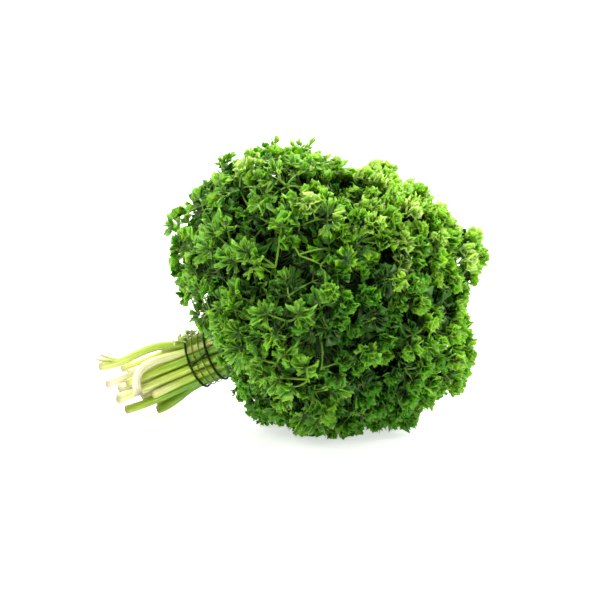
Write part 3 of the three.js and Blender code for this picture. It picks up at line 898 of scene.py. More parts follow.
@dataclass
class LeafletPattern:
    """One toothed, crisped leaflet, 1 long from its base at the origin along +X, with its upper side up."""

    habit: Habit
    seed: int
    thickness: float = 0.02
    base: float = 0.05
    edge_drop: float = 0.26
    squareness: float = 0.5
    roughness: float = 0.012

    def __post_init__(self) -> None:
        """Takes the leaflet's own draws."""
        self.cut = CUTS[self.habit]
        chance = Random(self.seed)
        columns = range(self.cut.columns + 1)
        lobes = range(self.cut.lobes)
        self.phase = chance.uniform(0, 2 * math.pi)
        self.beat = chance.uniform(1.9, 2.6)
        self.teeth = [chance.uniform(0.88, 1.1) for _ in columns]
        self.tips = [chance.uniform(-1, 1) * self.cut.tip_lift for _ in columns]
        self.lobe_reach = [chance.uniform(0.84, 1.0) for _ in lobes]
        self.lobe_lift = [chance.uniform(-0.16, 0.16) for _ in lobes]
        self.chance = chance

    def reach(self, column: int, side: float, share: float) -> float:
        """How far the blade goes out at a column of the flat strip, as a share of its length.

        Args:
            column: The column, with every third one in a notch.
            side: From -1 at the right margin to 1 at the left one.
            share: From 0 at the base to 1 at the teeth.

        Returns:
            The distance from the base to the margin there.
        """
        cut = self.cut
        lobe, off = self.lobe(column)
        reach = (1 - self.edge_drop * side * side) * self.lobe_reach[lobe]
        if cut.between_lobes(column):
            return reach * cut.lobe_notch
        reach *= 1 - cut.lobe_drop * off * off
        if share < 1:
            return reach
        if column % 3 == 0:
            return reach * cut.tooth_notch
        return reach * self.teeth[column]

    def lobe(self, column: int) -> tuple[int, float]:
        """Finds the lobe that a column is in.

        Args:
            column: The column.

        Returns:
            The lobe's number, and how far off its middle the column is, from -1 to 1.
        """
        wide = self.cut.lobe_columns
        lobe = min(column // wide, self.cut.lobes - 1)
        return lobe, (column - lobe * wide) * 2 / wide - 1

    def place(self, side: float, row: float) -> Vector:
        """Where a point of the flat strip goes on the crisped blade.

        Args:
            side: From -1 at the right margin to 1 at the left one.
            row: From 0 at the base to 1 at the teeth, in even steps.

        Returns:
            Its place, in leaflet lengths.
        """
        cut = self.cut
        share = cut.rows[round(row * (len(cut.rows) - 1))]
        column = round((side + 1) / 2 * cut.columns)
        lobe, off = self.lobe(column)
        radius = max(self.base, self.reach(column, side, share) * share)
        if not cut.between_lobes(column):
            side -= off * (1 - cut.lobe_width) * share / cut.lobes
        shoulder = (0, -1, 1)[column % 3] if share == 1 else 0
        side += 2 * self.squareness * shoulder / cut.columns
        wave = cut.waves * math.pi * side + self.phase
        folded = cut.curl * share * share * math.sin(2 * wave) / cut.waves
        narrow = mixed(0.3, 1, min(share / 0.36, 1))
        angle = math.radians(cut.half_angle) * side * narrow + folded
        height = cut.wave_height * share**1.6 * (math.sin(wave) + 0.35 * math.sin(self.beat * wave))
        height += cut.cup * share * share
        height += share * (cut.fold * abs(off) + self.lobe_lift[lobe] * share)
        if share == 1:
            height += self.tips[column]
        rough = [self.chance.uniform(-1, 1) * self.roughness * share for _ in range(3)]
        return Vector((radius * math.cos(angle), radius * math.sin(angle), height)) + Vector(rough)

    def mesh(self) -> bpy.types.Mesh:
        """The leaflet as a thin closed blade with its attributes."""
        bm = bmesh.new()
        across = bm.verts.layers.float.new("across")
        along = bm.verts.layers.float.new("along")
        below = bm.verts.layers.float.new("below")
        bmesh.ops.create_grid(bm, x_segments=self.cut.columns, y_segments=len(self.cut.rows) - 1, size=1)
        for vert in bm.verts:
            side, share = vert.co.x, (vert.co.y + 1) / 2
            vert[across] = side
            vert[along] = share
            vert.co = self.place(side, share)
        foot = [vert for vert in bm.verts if vert[along] == 0]
        bmesh.ops.pointmerge(bm, verts=foot, merge_co=Vector((0, 0, 0)))
        bm.normal_update()
        upper = list(bm.verts)
        normals = [vert.normal.copy() for vert in upper]
        made = bmesh.ops.extrude_face_region(bm, geom=list(bm.faces), use_keep_orig=True)["geom"]
        lower = [item for item in made if isinstance(item, bmesh.types.BMVert)]
        for vert, normal in zip(lower, normals):
            vert.co -= normal * self.thickness
            vert[below] = 1
        bmesh.ops.recalc_face_normals(bm, faces=list(bm.faces))
        return mesh_from(bm, f"{self.habit.value}_leaflet")


@dataclass(frozen=True)
class Posy:
    """A few leaflets on one small stalk: their kind and number, how they lean out and how long they are."""

    habit: Habit
    count: int
    lean: float
    length: float
    tone: float
    wander: float = 16


CRISPED_POSY = Posy(Habit.CRISPED, 4, 36, 8.8, 0.5, 26)
# The tuft and inner posies are sunk deep under the others and coloured dark green to near black: painted
# shade filling the hollows between the fans.
TUFT_POSY = Posy(Habit.TUFT, 6, 12, 12.5, 0, 16)
INNER_POSY = Posy(Habit.INNER, 6, 0, 22, -0.12, 8)


@dataclass
class Foliage:
    """The leaflet patterns that every leaf is made up from, a few of each habit."""

    variants: dict[Habit, int] = field(default_factory=lambda: {
        Habit.OPEN: 8,
        Habit.CRISPED: 12,
        Habit.TUFT: 8,
        Habit.INNER: 4,
    })
    seed: int = 7

    def __post_init__(self) -> None:
        """Makes the patterns."""
        self.patterns = {
            habit: [LeafletPattern(habit, self.seed * 100 + i).mesh() for i in range(count)]
            for habit, count in self.variants.items()
        }

    def clear(self) -> None:
        """Removes the patterns once every leaf is made."""
        for meshes in self.patterns.values():
            for mesh in meshes:
                bpy.data.meshes.remove(mesh)


@dataclass
class Leaf:
    """One leaf: its forked stalks and the leaflets of its fans, in place of its solid."""

    number: int
    sprig: Sprig
    plan: Plan
    foliage: Foliage
    stalk_radius: float = 0.9
    stalk_tip: float = 0.4
    stalk_bend: float = 9
    stalk_sides: int = 6
    stalk_steps: int = 7
    twig_radius: float = 0.52
    twig_tip: float = 0.36
    trefoil_length: float = 13.2
    spray_length: float = 14.6
    trefoil_stalk: float = 3.4
    trefoil_turns: tuple[tuple[float, float], ...] = ((-62, 0.86), (0, 1), (62, 0.86))
    spray_turns: tuple[tuple[float, float], ...] = ((-64, 0.66), (0, 1), (64, 0.66))
    trefoil_tone: float = 0.5
    spray_sunk: float = 8
    spray_rise: float = 4.5
    spray_tone: float = 0.46
    base_length: float = 10
    base_radius: float = 1.75
    roll: float = 34
    sunk: float = 5
    valley: float = 5.5
    bare_sunk: float = 9
    bare_from: float = 0.6
    bare_shrink: float = 0.35
    proud: float = 3.2
    trims: tuple[float, ...] = (1, 0.88, 0.76, 0.64, 0.52)
    shortest: float = 0.4
    # Painted light: a fan's leaflets are lighter where it faces up and to the right, darker the further it
    # is set in from its leaf's middle, with a random spread.
    lit_above: float = 0.12
    lit_ahead: float = 0.06
    lit_inset: float = -0.04
    lit_spread: float = 0.07
    tone_spread: float = 0.09
    # Painted shade: leaflets darker at the rims of the fans, in the bare hollows and over the shaded
    # patches. Young patches are paler.
    rim_shade_tone: float = -0.1
    bare_shade_tone: float = -0.25
    young_tone: float = 0.2
    shaded_tone: float = -0.13
    stalk_tone: float = 1.1
    shoot_tone: float = 0.9
    shoot_tips: tuple[tuple[float, float, float], ...] = (
        (2, 2.6, 3), (-3, 3.4, 2), (-6, 2.4, 4), (5, 1.6, 5), (-1.5, 1.6, 7),
    )
    tuft_depth: float = 12
    inner_depth: float = 26
    collar: float = 19
    collar_radius: float = 40

    def __post_init__(self) -> None:
        """Starts the leaf's own draws and its empty meshes."""
        self.chance = Random(1000 + self.number)
        self.bm = bmesh.new()
        self.wood = bmesh.new()
        self.runs: list[tuple[int, float]] = []

    def give(self, size: float) -> float:
        """A random number up to size, either way."""
        return self.chance.uniform(-size, size)

    def wild(self, size: float) -> Vector:
        """A random offset, up to size each way."""
        return Vector([self.give(size) for _ in range(3)])

    def neck(self, fan: Fan) -> Vector:
        """The place under a fan's middle where its stalk ends."""
        return self.plan.head_centre + fan.facing * (fan.radius - fan.depth)

    def collared(self, place: Vector) -> bool:
        """Whether a place is at the tie, where the stems are bare.

        Args:
            place: The place, in millimetres.

        Returns:
            True where no leaflet may grow.
        """
        off = place - self.plan.tie_centre
        along = off.dot(self.plan.bundle.along)
        return along < self.collar and (off - self.plan.bundle.along * along).length < self.collar_radius

    def trimmed(self, base: Vector, ahead: Vector, length: float, proud: float) -> float:
        """Shortens a leaflet that would stand out of the head.

        Args:
            base: Where it starts, in millimetres.
            ahead: The way that it grows.
            length: The length that it would have.
            proud: How far it may stand out of the head's surface.

        Returns:
            The length that it has.
        """
        for share in self.trims:
            out = base + ahead * length * share - self.plan.head_centre
            if out.length < self.plan.leaflet_radius(out.normalized()) + proud:
                return length * share
        return length * self.shortest

    def add_leaflet(self, habit: Habit, base: Vector, ahead: Vector, top: Vector, length: float,
                    tone: float) -> None:
        """Adds one leaflet.

        Args:
            habit: Its kind.
            base: Where it starts, in millimetres.
            ahead: The way that it grows.
            top: The way that its upper side faces.
            length: Its length in millimetres.
            tone: How light its green is, from 0 to 1.
        """
        pattern = self.chance.choice(self.foliage.patterns[habit])
        mesh = pattern.copy()
        width = self.chance.choice((-1, 1)) * self.chance.uniform(0.9, 1.12)
        size = Matrix.Diagonal((length, length * width, length, 1))
        mesh.transform(Matrix.Translation(base) @ aimed(ahead, top) @ size)
        if width < 0:
            mesh.flip_normals()
        self.bm.from_mesh(mesh)
        self.runs.append((len(mesh.vertices), tone))
        bpy.data.meshes.remove(mesh)

    def add_fitted(self, habit: Habit, base: Vector, ahead: Vector, top: Vector, length: float,
                   tone: float, proud: float) -> None:
        """Adds one leaflet, cut short where it would stand out of the head and left out at the tie.

        Args:
            habit: Its kind.
            base: Where it starts, in millimetres.
            ahead: The way that it grows.
            top: The way that its upper side faces.
            length: The length that it would have.
            tone: How light its green is, from 0 to 1.
            proud: How far it may stand out of the head's surface.
        """
        length = self.trimmed(base, ahead, length, proud)
        if not (self.collared(base) or self.collared(base + ahead * length)):
            self.add_leaflet(habit, base, ahead, top, length, tone)

    def add_posy(self, posy: Posy, base: Vector, axis: Vector, proud: float, tone: float,
                 overturned: bool = False, size: float = 1) -> None:
        """Adds the leaflets of one small stalk.

        Args:
            posy: What they are.
            base: Where the stalk ends.
            axis: The way that it grows.
            proud: How far its leaflets may stand out of the head's surface, in millimetres.
            tone: How much lighter than the usual they are.
            overturned: Whether their undersides face out.
            size: How long they are beside the usual ones.
        """
        side = axis.orthogonal().normalized()
        other = axis.cross(side)
        start = self.chance.uniform(0, 2 * math.pi)
        for i in range(posy.count):
            around = start + (i + self.give(0.25)) / posy.count * 2 * math.pi
            lean = math.radians(posy.lean + self.give(posy.wander))
            level = turned(side, other, around)
            ahead = turned(level, axis, lean)
            top = turned(axis, -level, lean)
            top = turned(top, ahead.cross(top), math.radians(self.give(self.roll)))
            length = posy.length * size * self.chance.uniform(0.8, 1.12)
            shade = posy.tone + tone + self.give(0.07)
            self.add_fitted(posy.habit, base, ahead, -top if overturned else top, length, shade, proud)

    def add_spot(self, fan: Fan, way: Vector, lit: float) -> None:
        """Adds the posy at one spot of a fan, with the twig that carries it.

        Args:
            fan: The fan.
            way: The spot's way from the head's centre.
            lit: How much painted light the fan's green gets: above 0 lighter, below 0 darker.
        """
        plan = self.plan
        bare = plan.growth(Growth.BARE, way)
        if bare > self.bare_from:
            return
        rim = min(way.angle(fan.facing) / plan.cell_angle, 1.3)
        radius = plan.leaflet_radius(way) + (fan.radius - plan.surface_radius(fan.facing))
        sunk = self.sunk + self.give(1.6) + self.valley * rim * rim + self.bare_sunk * bare
        base = plan.head_centre + way * (radius - sunk)
        neck = self.neck(fan) - fan.facing * 2
        outward = base - neck
        self.add_twig(neck, base, way * (outward.length * 0.22) + self.wild(1.5))
        axis = (way + outward * 0.035 + self.wild(0.4)).normalized()
        young, shaded = plan.growth(Growth.YOUNG, way), plan.growth(Growth.SHADED, way)
        # Painted shade: darker at the fan's rim, in bare hollows and over shaded patches. Young patches are
        # paler.
        tone = lit + self.give(self.tone_spread) + self.rim_shade_tone * rim * rim + self.bare_shade_tone * bare
        tone += self.young_tone * young + self.shaded_tone * shaded * (1 - young)
        openness = 0.5 - 1.5 * way.dot(plan.plane_forward)
        overturned = plan.growth(Growth.OVERTURNED, way) > 0.5
        size = 1 - self.bare_shrink * bare
        if self.chance.random() < openness:
            self.add_trefoil(base, outward, axis, tone, overturned, size)
        else:
            self.add_posy(CRISPED_POSY, base, axis, self.proud, tone, overturned, size)

    def add_trefoil(self, base: Vector, outward: Vector, normal: Vector, tone: float, overturned: bool,
                    size: float) -> None:
        """Adds a spray of three open leaflets, each on a short stalk of its own.

        Args:
            base: Where the three part.
            outward: The way that their own stalk comes.
            normal: The way that the spray faces.
            tone: How much lighter than the usual they are.
            overturned: Whether their undersides face out.
            size: How long they are beside the usual ones.
        """
        level = (outward - normal * outward.dot(normal) + self.wild(2)).normalized()
        level = (level - normal * level.dot(normal)).normalized()
        across = normal.cross(level)
        for turn, share in self.trefoil_turns:
            flat = turned(level, across, math.radians(turn + self.give(14)))
            lift = math.radians(20 + self.give(20))
            ahead, top = turned(flat, normal, lift), turned(normal, -flat, lift)
            top = turned(top, ahead.cross(top), math.radians(self.give(self.roll)))
            foot = base + ahead * (self.trefoil_stalk * share)
            self.add_twig(base, foot, -top * 0.5, 2)
            length = self.trefoil_length * share * size * self.chance.uniform(0.85, 1.1)
            shade = self.trefoil_tone + tone + self.give(0.07)
            self.add_fitted(Habit.OPEN, foot, ahead, -top if overturned else top, length, shade, self.proud)

    def add_spray(self, fan: Fan, spray: Spray) -> None:
        """Adds a spray: its stalk, its bare side stalks and a leaflet at the end of each.

        Args:
            fan: The fan that it grows from.
            spray: Where it parts and where its side stalks end.
        """
        plan = self.plan
        way = plan.near_way(*spray.node)
        node = plan.head_centre + way * (plan.leaflet_radius(way) - self.spray_sunk)
        neck = self.neck(fan) - fan.facing * 6
        self.add_twig(neck, node, self.wild(2), width=1.6)
        for tip in spray.tips:
            out = plan.near_way(*tip)
            foot = plan.head_centre + out * (plan.leaflet_radius(out) - self.spray_rise)
            ahead = (foot - node).normalized()
            side = ahead.cross(out).normalized()
            self.add_twig(node, foot, side * self.give(2.2) + out * 1.2, 6, width=1.35)
            for turn, size in self.spray_turns:
                onward = turned(ahead, side, math.radians(turn + self.give(12)))
                onward = (onward + out * (0.2 + self.give(0.3))).normalized()
                top = turned(out, side, math.radians(self.give(30)))
                top = (top - onward * top.dot(onward)).normalized()
                length, shade = self.spray_length * size, self.spray_tone + self.give(0.08)
                self.add_fitted(Habit.OPEN, foot, onward, top, length, shade, self.proud + 1)

    def add_twig(self, start: Vector, stop: Vector, bend: Vector, steps: int = 4, width: float = 1) -> None:
        """Adds a fine stalk that tapers from its start to its end.

        Args:
            start: Where it starts, in millimetres.
            stop: Where it ends.
            bend: How far its middle is bent out of line.
            steps: How many rings it has after the first.
            width: How thick it is beside the usual ones.
        """
        middle = start.lerp(stop, 0.5) + bend
        shares = [i / steps for i in range(steps + 1)]
        path = [start.lerp(middle, share).lerp(middle.lerp(stop, share), share) for share in shares]
        radii = [width * mixed(self.twig_radius, self.twig_tip, share) for share in shares]
        sweep(self.wood, path, radii, 5)

    def add_fan(self, fan: Fan) -> None:
        """Adds every posy of a fan, with the two layers of dark leaflets under them, coloured as painted
        shade.
        """
        # Painted light on the fan: lighter facing up and to the right, darker where set in from its leaf's
        # middle.
        lit = self.lit_above * fan.facing.z + self.lit_ahead * fan.facing.x + self.lit_inset * fan.inset
        lit += self.give(self.lit_spread)
        for way in fan.spots:
            self.add_spot(fan, way, lit)
        for posy, depth in ((TUFT_POSY, self.tuft_depth), (INNER_POSY, self.inner_depth)):
            base = self.plan.head_centre + fan.facing * (fan.radius - depth)
            self.add_posy(posy, base, (fan.facing + self.wild(0.1)).normalized(), 4 - depth, 0)

    def add_shoot(self) -> None:
        """Adds the small yellow shoot that stands on the stem just below the tie."""
        along, rise = self.plan.bundle.along, self.plan.bundle.rise
        root = self.sprig.slot - along * 6.5 + rise * (self.sprig.ring.diameter / 2 - 0.4) - ACROSS * 3
        for back, up, front in self.shoot_tips:
            tip = root - along * back + rise * up - ACROSS * front
            self.add_twig(root, tip, rise * 0.8, 3)
            grown = (tip - root).normalized()
            for turn in (-60, 0, 60):
                level = turned(grown, grown.cross(ACROSS).normalized(), math.radians(turn))
                ahead = (level + self.wild(0.3)).normalized()
                top = (rise - ACROSS * 0.7 - along * 0.6 + self.wild(0.4)).normalized()
                length = self.chance.uniform(4, 5.2)
                self.add_leaflet(Habit.OPEN, tip - ahead, ahead, top, length, self.shoot_tone)

    def add_stalks(self) -> None:
        """Adds the leaf's base and the stalk from its fork to each fan."""
        fork = self.sprig.fork
        arrival = self.plan.arrival(self.sprig)
        base = fork - arrival * self.base_length
        sweep(self.wood, [base, base.lerp(fork, 0.5), fork], [self.base_radius, 1.6, 1.4], self.stalk_sides)
        for fan in self.sprig.fans:
            end = self.neck(fan)
            middle = fork.lerp(end, 0.5) + arrival * 0.16 * (end - fork).length + self.wild(self.stalk_bend)
            path, radii = [], []
            for i in range(self.stalk_steps + 1):
                share = i / self.stalk_steps
                path.append(fork.lerp(middle, share).lerp(middle.lerp(end, share), share))
                radii.append(mixed(self.stalk_radius, self.stalk_tip, share))
            sweep(self.wood, path, radii, self.stalk_sides)

    def build(self, room: Room, finishes: list[bpy.types.Material]) -> bpy.types.Object:
        """Builds the piece and puts it in its solid's place.

        Args:
            room: The box that it stays in.
            finishes: The leaflets' material, then the stalks'.

        Returns:
            The piece.
        """
        for fan in self.sprig.fans:
            self.add_fan(fan)
            for spray in fan.sprays:
                self.add_spray(fan, spray)
        if self.sprig.stray.shoot:
            self.add_shoot()
        self.add_stalks()
        stalks = mesh_from(self.wood, "stalks")
        stalks.polygons.foreach_set("material_index", [1] * len(stalks.polygons))
        self.bm.from_mesh(stalks)
        self.runs.append((len(stalks.vertices), self.stalk_tone))
        bpy.data.meshes.remove(stalks)
        bmesh.ops.transform(self.bm, matrix=Matrix.Scale(MM, 4), verts=list(self.bm.verts))
        mesh = mesh_from(self.bm, f"parsley_leaf_{self.number:02d}")
        tones = np.repeat([tone for _, tone in self.runs], [count for count, _ in self.runs])
        layer = mesh.attributes.new("tone", "FLOAT", "POINT")
        layer.data.foreach_set("value", tones.astype(np.float32))
        room.press(mesh)
        for finish in finishes:
            mesh.materials.append(finish)
        return placed(mesh, "leaf", f"leaf_{self.number:02d}")


def placed(mesh: bpy.types.Mesh, slot: str, *nodes: str) -> bpy.types.Object:
    """Puts a finished mesh in the scene as a piece that rides with the bunch.

    Args:
        mesh: The mesh, in metres and in its place.
        slot: Not used.
        nodes: The solids that it stands for.

    Returns:
        The piece.
    """
    piece = bpy.data.objects.new(mesh.name, mesh)
    bpy.context.scene.collection.objects.link(piece)
    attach(piece, "root")
    if nodes:
        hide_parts(*nodes)
    triangles = sum(len(face.vertices) - 2 for face in mesh.polygons)
    log.info("%s: %d triangles", piece.name, triangles)
    return piece


# --- stems ----------------------------------------------------------------------------------------------


def bezier(points: tuple[Vector, Vector, Vector, Vector], share: float) -> Vector:
    """Finds a point of a cubic curve.

    Args:
        points: Its ends and, between them, the two points that pull it.
        share: How far along it the point is, from 0 to 1.

    Returns:
        The point.
    """
    a, b, c, d = points
    ab, bc, cd = a.lerp(b, share), b.lerp(c, share), c.lerp(d, share)
    return ab.lerp(bc, share).lerp(bc.lerp(cd, share), share)


@dataclass
class Stem:
    """One stem, from its cut end through the tie to its fork, in place of its solid."""

    number: int
    sprig: Sprig
    plan: Plan
    straight: float = 8
    flare: float = 1.18
    swell: float = 1.12
    narrowing: float = 0.68
    bow_share: float = 0.4
    leaf_base: float = 10.3
    sides: int = 16
    groove: float = 0.07
    tied_from: float = 0.4
    tied_to: float = 0.5
    free_steps: int = 14
    tied_steps: int = 4
    leafy_steps: int = 14
    split_from: float = 0.1
    prong_radii: tuple[float, float, float] = (1.6, 1.4, 0.6)
    prongs: tuple[Vector, ...] = (Vector((1, -2, 8)), Vector((-3, 1, 4)))
    foot_tone: float = 0.15
    tone_rise: float = 1.3

    def stretches(self) -> list[tuple[float, float, tuple[Vector, Vector, Vector, Vector]]]:
        """The free, tied and leafy stretches, each with the share of the stem where it starts and ends."""
        plan, sprig = self.plan, self.sprig
        along, rise = plan.bundle.along, plan.bundle.rise
        below = sprig.slot - along * self.straight
        above = sprig.slot + along * self.straight
        end = plan.tie_centre - along * sprig.cut + sprig.outward * sprig.ring.slot_radius * self.flare
        end += rise * sprig.stray.lift - ACROSS * sprig.stray.front
        end.z = max(end.z, sprig.ring.diameter / 2 * self.swell + 0.05)
        bow = end.lerp(below, self.bow_share) + rise * sprig.stray.bow - along * sprig.stray.run
        arrival = plan.arrival(sprig)
        top = sprig.fork - arrival * self.leaf_base
        bend = (top - above).length * self.bow_share
        free = (end - below).length * self.bow_share
        return [
            (0, self.tied_from, (end, bow, below - along * free + rise * sprig.stray.heave, below)),
            (self.tied_from, self.tied_to, tuple(below.lerp(above, i / 3) for i in range(4))),
            (self.tied_to, 1, (above, above + along * bend, top - arrival * bend, top)),
        ]

    def point(self, share: float) -> Vector:
        """Finds a point of the centre line.

        Args:
            share: How far from the cut end to the fork it is, from 0 to 1.

        Returns:
            The point, in millimetres.
        """
        for start, stop, points in self.stretches():
            if share <= stop:
                return bezier(points, (share - start) / (stop - start))
        return bezier(self.stretches()[-1][2], 1)

    def radius(self, share: float) -> float:
        """Finds how thick the stem is.

        Args:
            share: How far from the cut end to the fork, from 0 to 1.

        Returns:
            The radius there, in millimetres.
        """
        radius = self.sprig.ring.diameter / 2
        if share < self.tied_from:
            return radius * mixed(self.swell, 1, share / self.tied_from)
        return radius * mixed(1, self.narrowing, max(share - self.tied_to, 0) / (1 - self.tied_to))

    def build(self, room: Room, finish: bpy.types.Material) -> bpy.types.Object:
        """Builds the piece and puts it in its solid's place.

        Args:
            room: The box that it stays in.
            finish: Its material.

        Returns:
            The piece.
        """
        chance = Random(500 + self.number)
        shares = [mixed(0, self.tied_from, i / self.free_steps) for i in range(self.free_steps)]
        shares += [mixed(self.tied_from, self.tied_to, i / self.tied_steps) for i in range(self.tied_steps)]
        shares += [mixed(self.tied_to, 1, i / self.leafy_steps) for i in range(self.leafy_steps + 1)]
        bm = bmesh.new()
        names = ("along", "tone", "cut", "round_x", "round_y")
        along, tone, cut = [bm.verts.layers.float.new(name) for name in names][:3]
        path = [self.point(share) for share in shares]
        radii = [self.radius(share) for share in shares]
        rings = sweep(bm, path, radii, self.sides, groove=self.groove, flat=0.97)
        shade = chance.uniform(-0.16, 0.16) + self.sprig.stray.tone
        if self.sprig.stray.split:
            root = self.point(self.split_from)
            for prong in self.prongs:
                tip = self.point(0) + prong
                rings += sweep(bm, [root, root.lerp(tip, 0.5), tip], list(self.prong_radii), 8)
                shares += [self.split_from, self.split_from / 2, 0]
        for ring, share in zip(rings, shares):
            for vert in ring:
                vert[along] = self.number * 3 + share * 2
                vert[tone] = self.foot_tone + self.tone_rise * share + shade
                vert[cut] = 1 if share == 0 else 0
        bmesh.ops.recalc_face_normals(bm, faces=list(bm.faces))
        bmesh.ops.transform(bm, matrix=Matrix.Scale(MM, 4), verts=list(bm.verts))
        mesh = mesh_from(bm, f"parsley_stem_{self.number:02d}")
        room.press(mesh)
        mesh.materials.append(finish)
        return placed(mesh, "stem", f"stem_{self.number:02d}")


# --- the tie --------------------------------------------------------------------------------------------


@dataclass
class Tie:
    """The elastic thread: two stout end turns, two finer turns between them and a crossing stretch. Its
    turns are pressed into the stems, half a millimetre further in than the solid's."""

    plan: Plan
    radius: float = 16.4
    half_length: float = 6.4
    end_turn: float = 0.75
    middle_turn: float = 0.42
    crossing: tuple[float, float] = (-88, -73)
    crossing_radius: float = 0.68

    def point(self, turn: float, along: float) -> Vector:
        """The point of a turn at an angle from its top, so far along the bundle."""
        side = turned(self.plan.bundle.rise, ACROSS, turn)
        return self.plan.tie_centre + self.plan.bundle.along * along + side * self.radius

    def add_turn(self, bm: bmesh.types.BMesh, along: float, radius: float, sides: int) -> None:
        """Adds one closed turn, spun from a circle round the bundle.

        Args:
            bm: The mesh that it is added to.
            along: Where along the bundle it lies, in millimetres.
            radius: The thread's radius there.
            sides: The sides of the thread.
        """
        before = len(bm.verts)
        start = self.point(0, along)
        turn = aimed(ACROSS, self.plan.bundle.rise) @ Matrix.Rotation(math.pi / 2, 4, "Y")
        circle = bmesh.ops.create_circle(bm, segments=sides, radius=radius,
                                         matrix=Matrix.Translation(start) @ turn)["verts"]
        edges = list({edge for vert in circle for edge in vert.link_edges})
        bmesh.ops.spin(bm, geom=circle + edges, cent=self.plan.tie_centre, axis=self.plan.bundle.along,
                       angle=2 * math.pi, steps=96, use_merge=True)
        round_x, round_y = (bm.verts.layers.float[name] for name in ("round_x", "round_y"))
        thin = bm.verts.layers.float["thin"]
        for vert in list(bm.verts)[before:]:
            vert[thin] = 1 if radius < self.end_turn else 0
            out = vert.co - self.plan.tie_centre
            vert[round_y] = (out.dot(self.plan.bundle.along) - along) / radius
            vert[round_x] = ((out - self.plan.bundle.along * along).length - self.radius) / radius

    def build(self, room: Room, finish: bpy.types.Material) -> bpy.types.Object:
        """Builds the piece and puts it in its solid's place.

        Args:
            room: Not used.
            finish: Its material.

        Returns:
            The piece.
        """
        bm = bmesh.new()
        names = ("turn_x", "turn_y", "round_x", "round_y", "thin")
        turn_x, turn_y = [bm.verts.layers.float.new(name) for name in names][:2]
        third = self.half_length / 3
        for along, radius in ((-self.half_length, self.end_turn), (self.half_length, self.end_turn),
                              (-third, self.middle_turn), (third, self.middle_turn)):
            self.add_turn(bm, along, radius, 8)
        start, stop = (math.radians(angle) for angle in self.crossing)
        path = [self.point(mixed(start, stop, i / 6), mixed(-self.half_length, self.half_length, i / 6))
                for i in range(7)]
        sweep(bm, path, [self.crossing_radius] * 7, 8)
        for vert in bm.verts:
            out = vert.co - self.plan.tie_centre
            vert[turn_x], vert[turn_y] = out.dot(self.plan.bundle.rise), out.dot(ACROSS)
        bmesh.ops.recalc_face_normals(bm, faces=list(bm.faces))
        bmesh.ops.transform(bm, matrix=Matrix.Scale(MM, 4), verts=list(bm.verts))
        mesh = mesh_from(bm, "elastic_tie")
        mesh.materials.append(finish)
        return placed(mesh, "tie", "tie")


# --- the studio -----------------------------------------------------------------------------------------


@dataclass(frozen=True)
class Softbox:
    """A soft square light: where it stands, how large it is, its power and its colour."""

    name: str
    place: tuple[float, float, float]
    size: float
    power: float
    colour: str = "#ffffff"


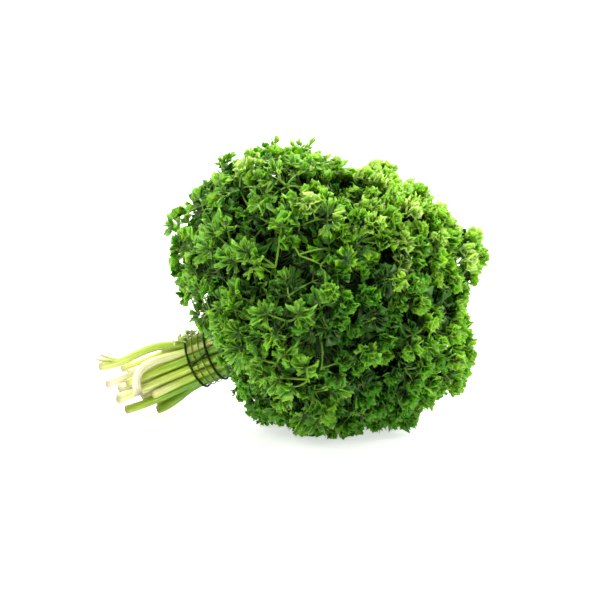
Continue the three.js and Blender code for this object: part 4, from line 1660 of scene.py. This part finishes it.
@dataclass
class Studio:
    """A light tent: white floor, soft light from above, behind and both sides, and the camera."""

    plan: Plan
    azimuth: float = 10
    elevation: float = 12
    distance: float = 0.85
    lens: float = 85
    sensor: float = 36
    aim: tuple[float, float] = (328, 290)
    frame_size: float = 600
    floor_size: float = 60
    sky: float = 0.55
    front: float = 0.05
    horizon: float = 1.0
    softboxes: tuple[Softbox, ...] = (
        Softbox("top_softbox", (0.0, 0.1, 1.0), 0.9, 25),
        Softbox("back_softbox", (0.1, 1.3, 0.95), 1.0, 20),
        Softbox("left_softbox", (-1.2, 0.1, 0.6), 0.8, 11),
        Softbox("right_softbox", (1.2, 0.1, 0.6), 0.8, 14),
        Softbox("fill_softbox", (-0.5, -1.2, 0.9), 0.6, 2),
    )

    def add_camera(self) -> None:
        """Makes the camera and gives it to the scene."""
        data = bpy.data.cameras.new("camera")
        data.lens = self.lens
        data.sensor_width = self.sensor
        middle = self.frame_size / 2
        data.shift_x = (middle - self.aim[0]) / self.frame_size
        data.shift_y = (self.aim[1] - middle) / self.frame_size
        turn, lift = math.radians(self.azimuth), math.radians(self.elevation)
        back = Vector((math.sin(turn) * math.cos(lift), -math.cos(turn) * math.cos(lift), math.sin(lift)))
        camera = bpy.data.objects.new("camera", data)
        camera.location = self.plan.head_centre * MM + back * self.distance
        camera.rotation_euler = (-back).to_track_quat("-Z", "Y").to_euler()
        bpy.context.scene.collection.objects.link(camera)
        bpy.context.scene.camera = camera

    def add_floor(self) -> None:
        """Makes the floor."""
        bm = bmesh.new()
        bmesh.ops.create_grid(bm, x_segments=1, y_segments=1, size=self.floor_size / 2)
        floor = bpy.data.objects.new("floor", mesh_from(bm, "floor"))
        floor.data.materials.append(FloorFinish().material())
        bpy.context.scene.collection.objects.link(floor)
        floor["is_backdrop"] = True

    def add_lights(self) -> None:
        """Makes the softboxes and the tent's own glow."""
        target = self.plan.head_centre * MM
        for box in self.softboxes:
            data = bpy.data.lights.new(box.name, "AREA")
            data.size = box.size
            data.energy = box.power
            data.color = linear(box.colour)[:3]
            light = bpy.data.objects.new(box.name, data)
            light.location = box.place
            light.rotation_euler = (target - Vector(box.place)).to_track_quat("-Z", "Y").to_euler()
            bpy.context.scene.collection.objects.link(light)
        world = bpy.data.worlds.new("light_tent")
        bpy.context.scene.world = world
        world.use_nodes = True
        tree = world.node_tree
        way = add_node(tree, "ShaderNodeTexCoord", output="Generated")
        depth, height = (add_node(tree, "ShaderNodeSeparateXYZ", {0: way}, axis) for axis in ("Y", "Z"))
        glow = add_node(tree, "ShaderNodeMapRange", {0: depth, 1: -0.9, 2: 0.2, 3: self.front, 4: self.sky})
        band = add_node(tree, "ShaderNodeMapRange", {0: height, 1: 0.0, 2: 0.2, 3: self.horizon, 4: 0.0},
                        interpolation_type="SMOOTHSTEP")
        glow = add_node(tree, "ShaderNodeMath", {0: glow, 1: band}, operation="MAXIMUM")
        background = tree.nodes["Background"]
        background.inputs["Color"].default_value = linear("#ffffff")
        tree.links.new(glow, background.inputs["Strength"])

    def build(self) -> None:
        """Sets up the whole studio."""
        self.add_camera()
        self.add_floor()
        self.add_lights()
        bpy.context.scene.view_settings.view_transform = "Standard"


def main() -> None:
    """Builds every piece in order, then the studio."""
    logging.basicConfig(level=logging.INFO)
    low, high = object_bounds()
    plan = Plan()
    room = Room(low, high)
    leaf_finish = LeafFinish().material()
    stalk_finish = StalkFinish().material()
    tie_finish = TieFinish().material()
    foliage = Foliage()
    for number, sprig in enumerate(plan.sprigs, 1):
        Stem(number, sprig, plan).build(room, stalk_finish)
        Leaf(number, sprig, plan, foliage).build(room, [leaf_finish, stalk_finish])
    foliage.clear()
    Tie(plan).build(room, tie_finish)
    Studio(plan).build()
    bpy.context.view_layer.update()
    total = sum(len(face.vertices) - 2 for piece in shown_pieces() for face in piece.data.polygons)
    log.info("%d triangles in all", total)


if __name__ == "__main__":
    main()
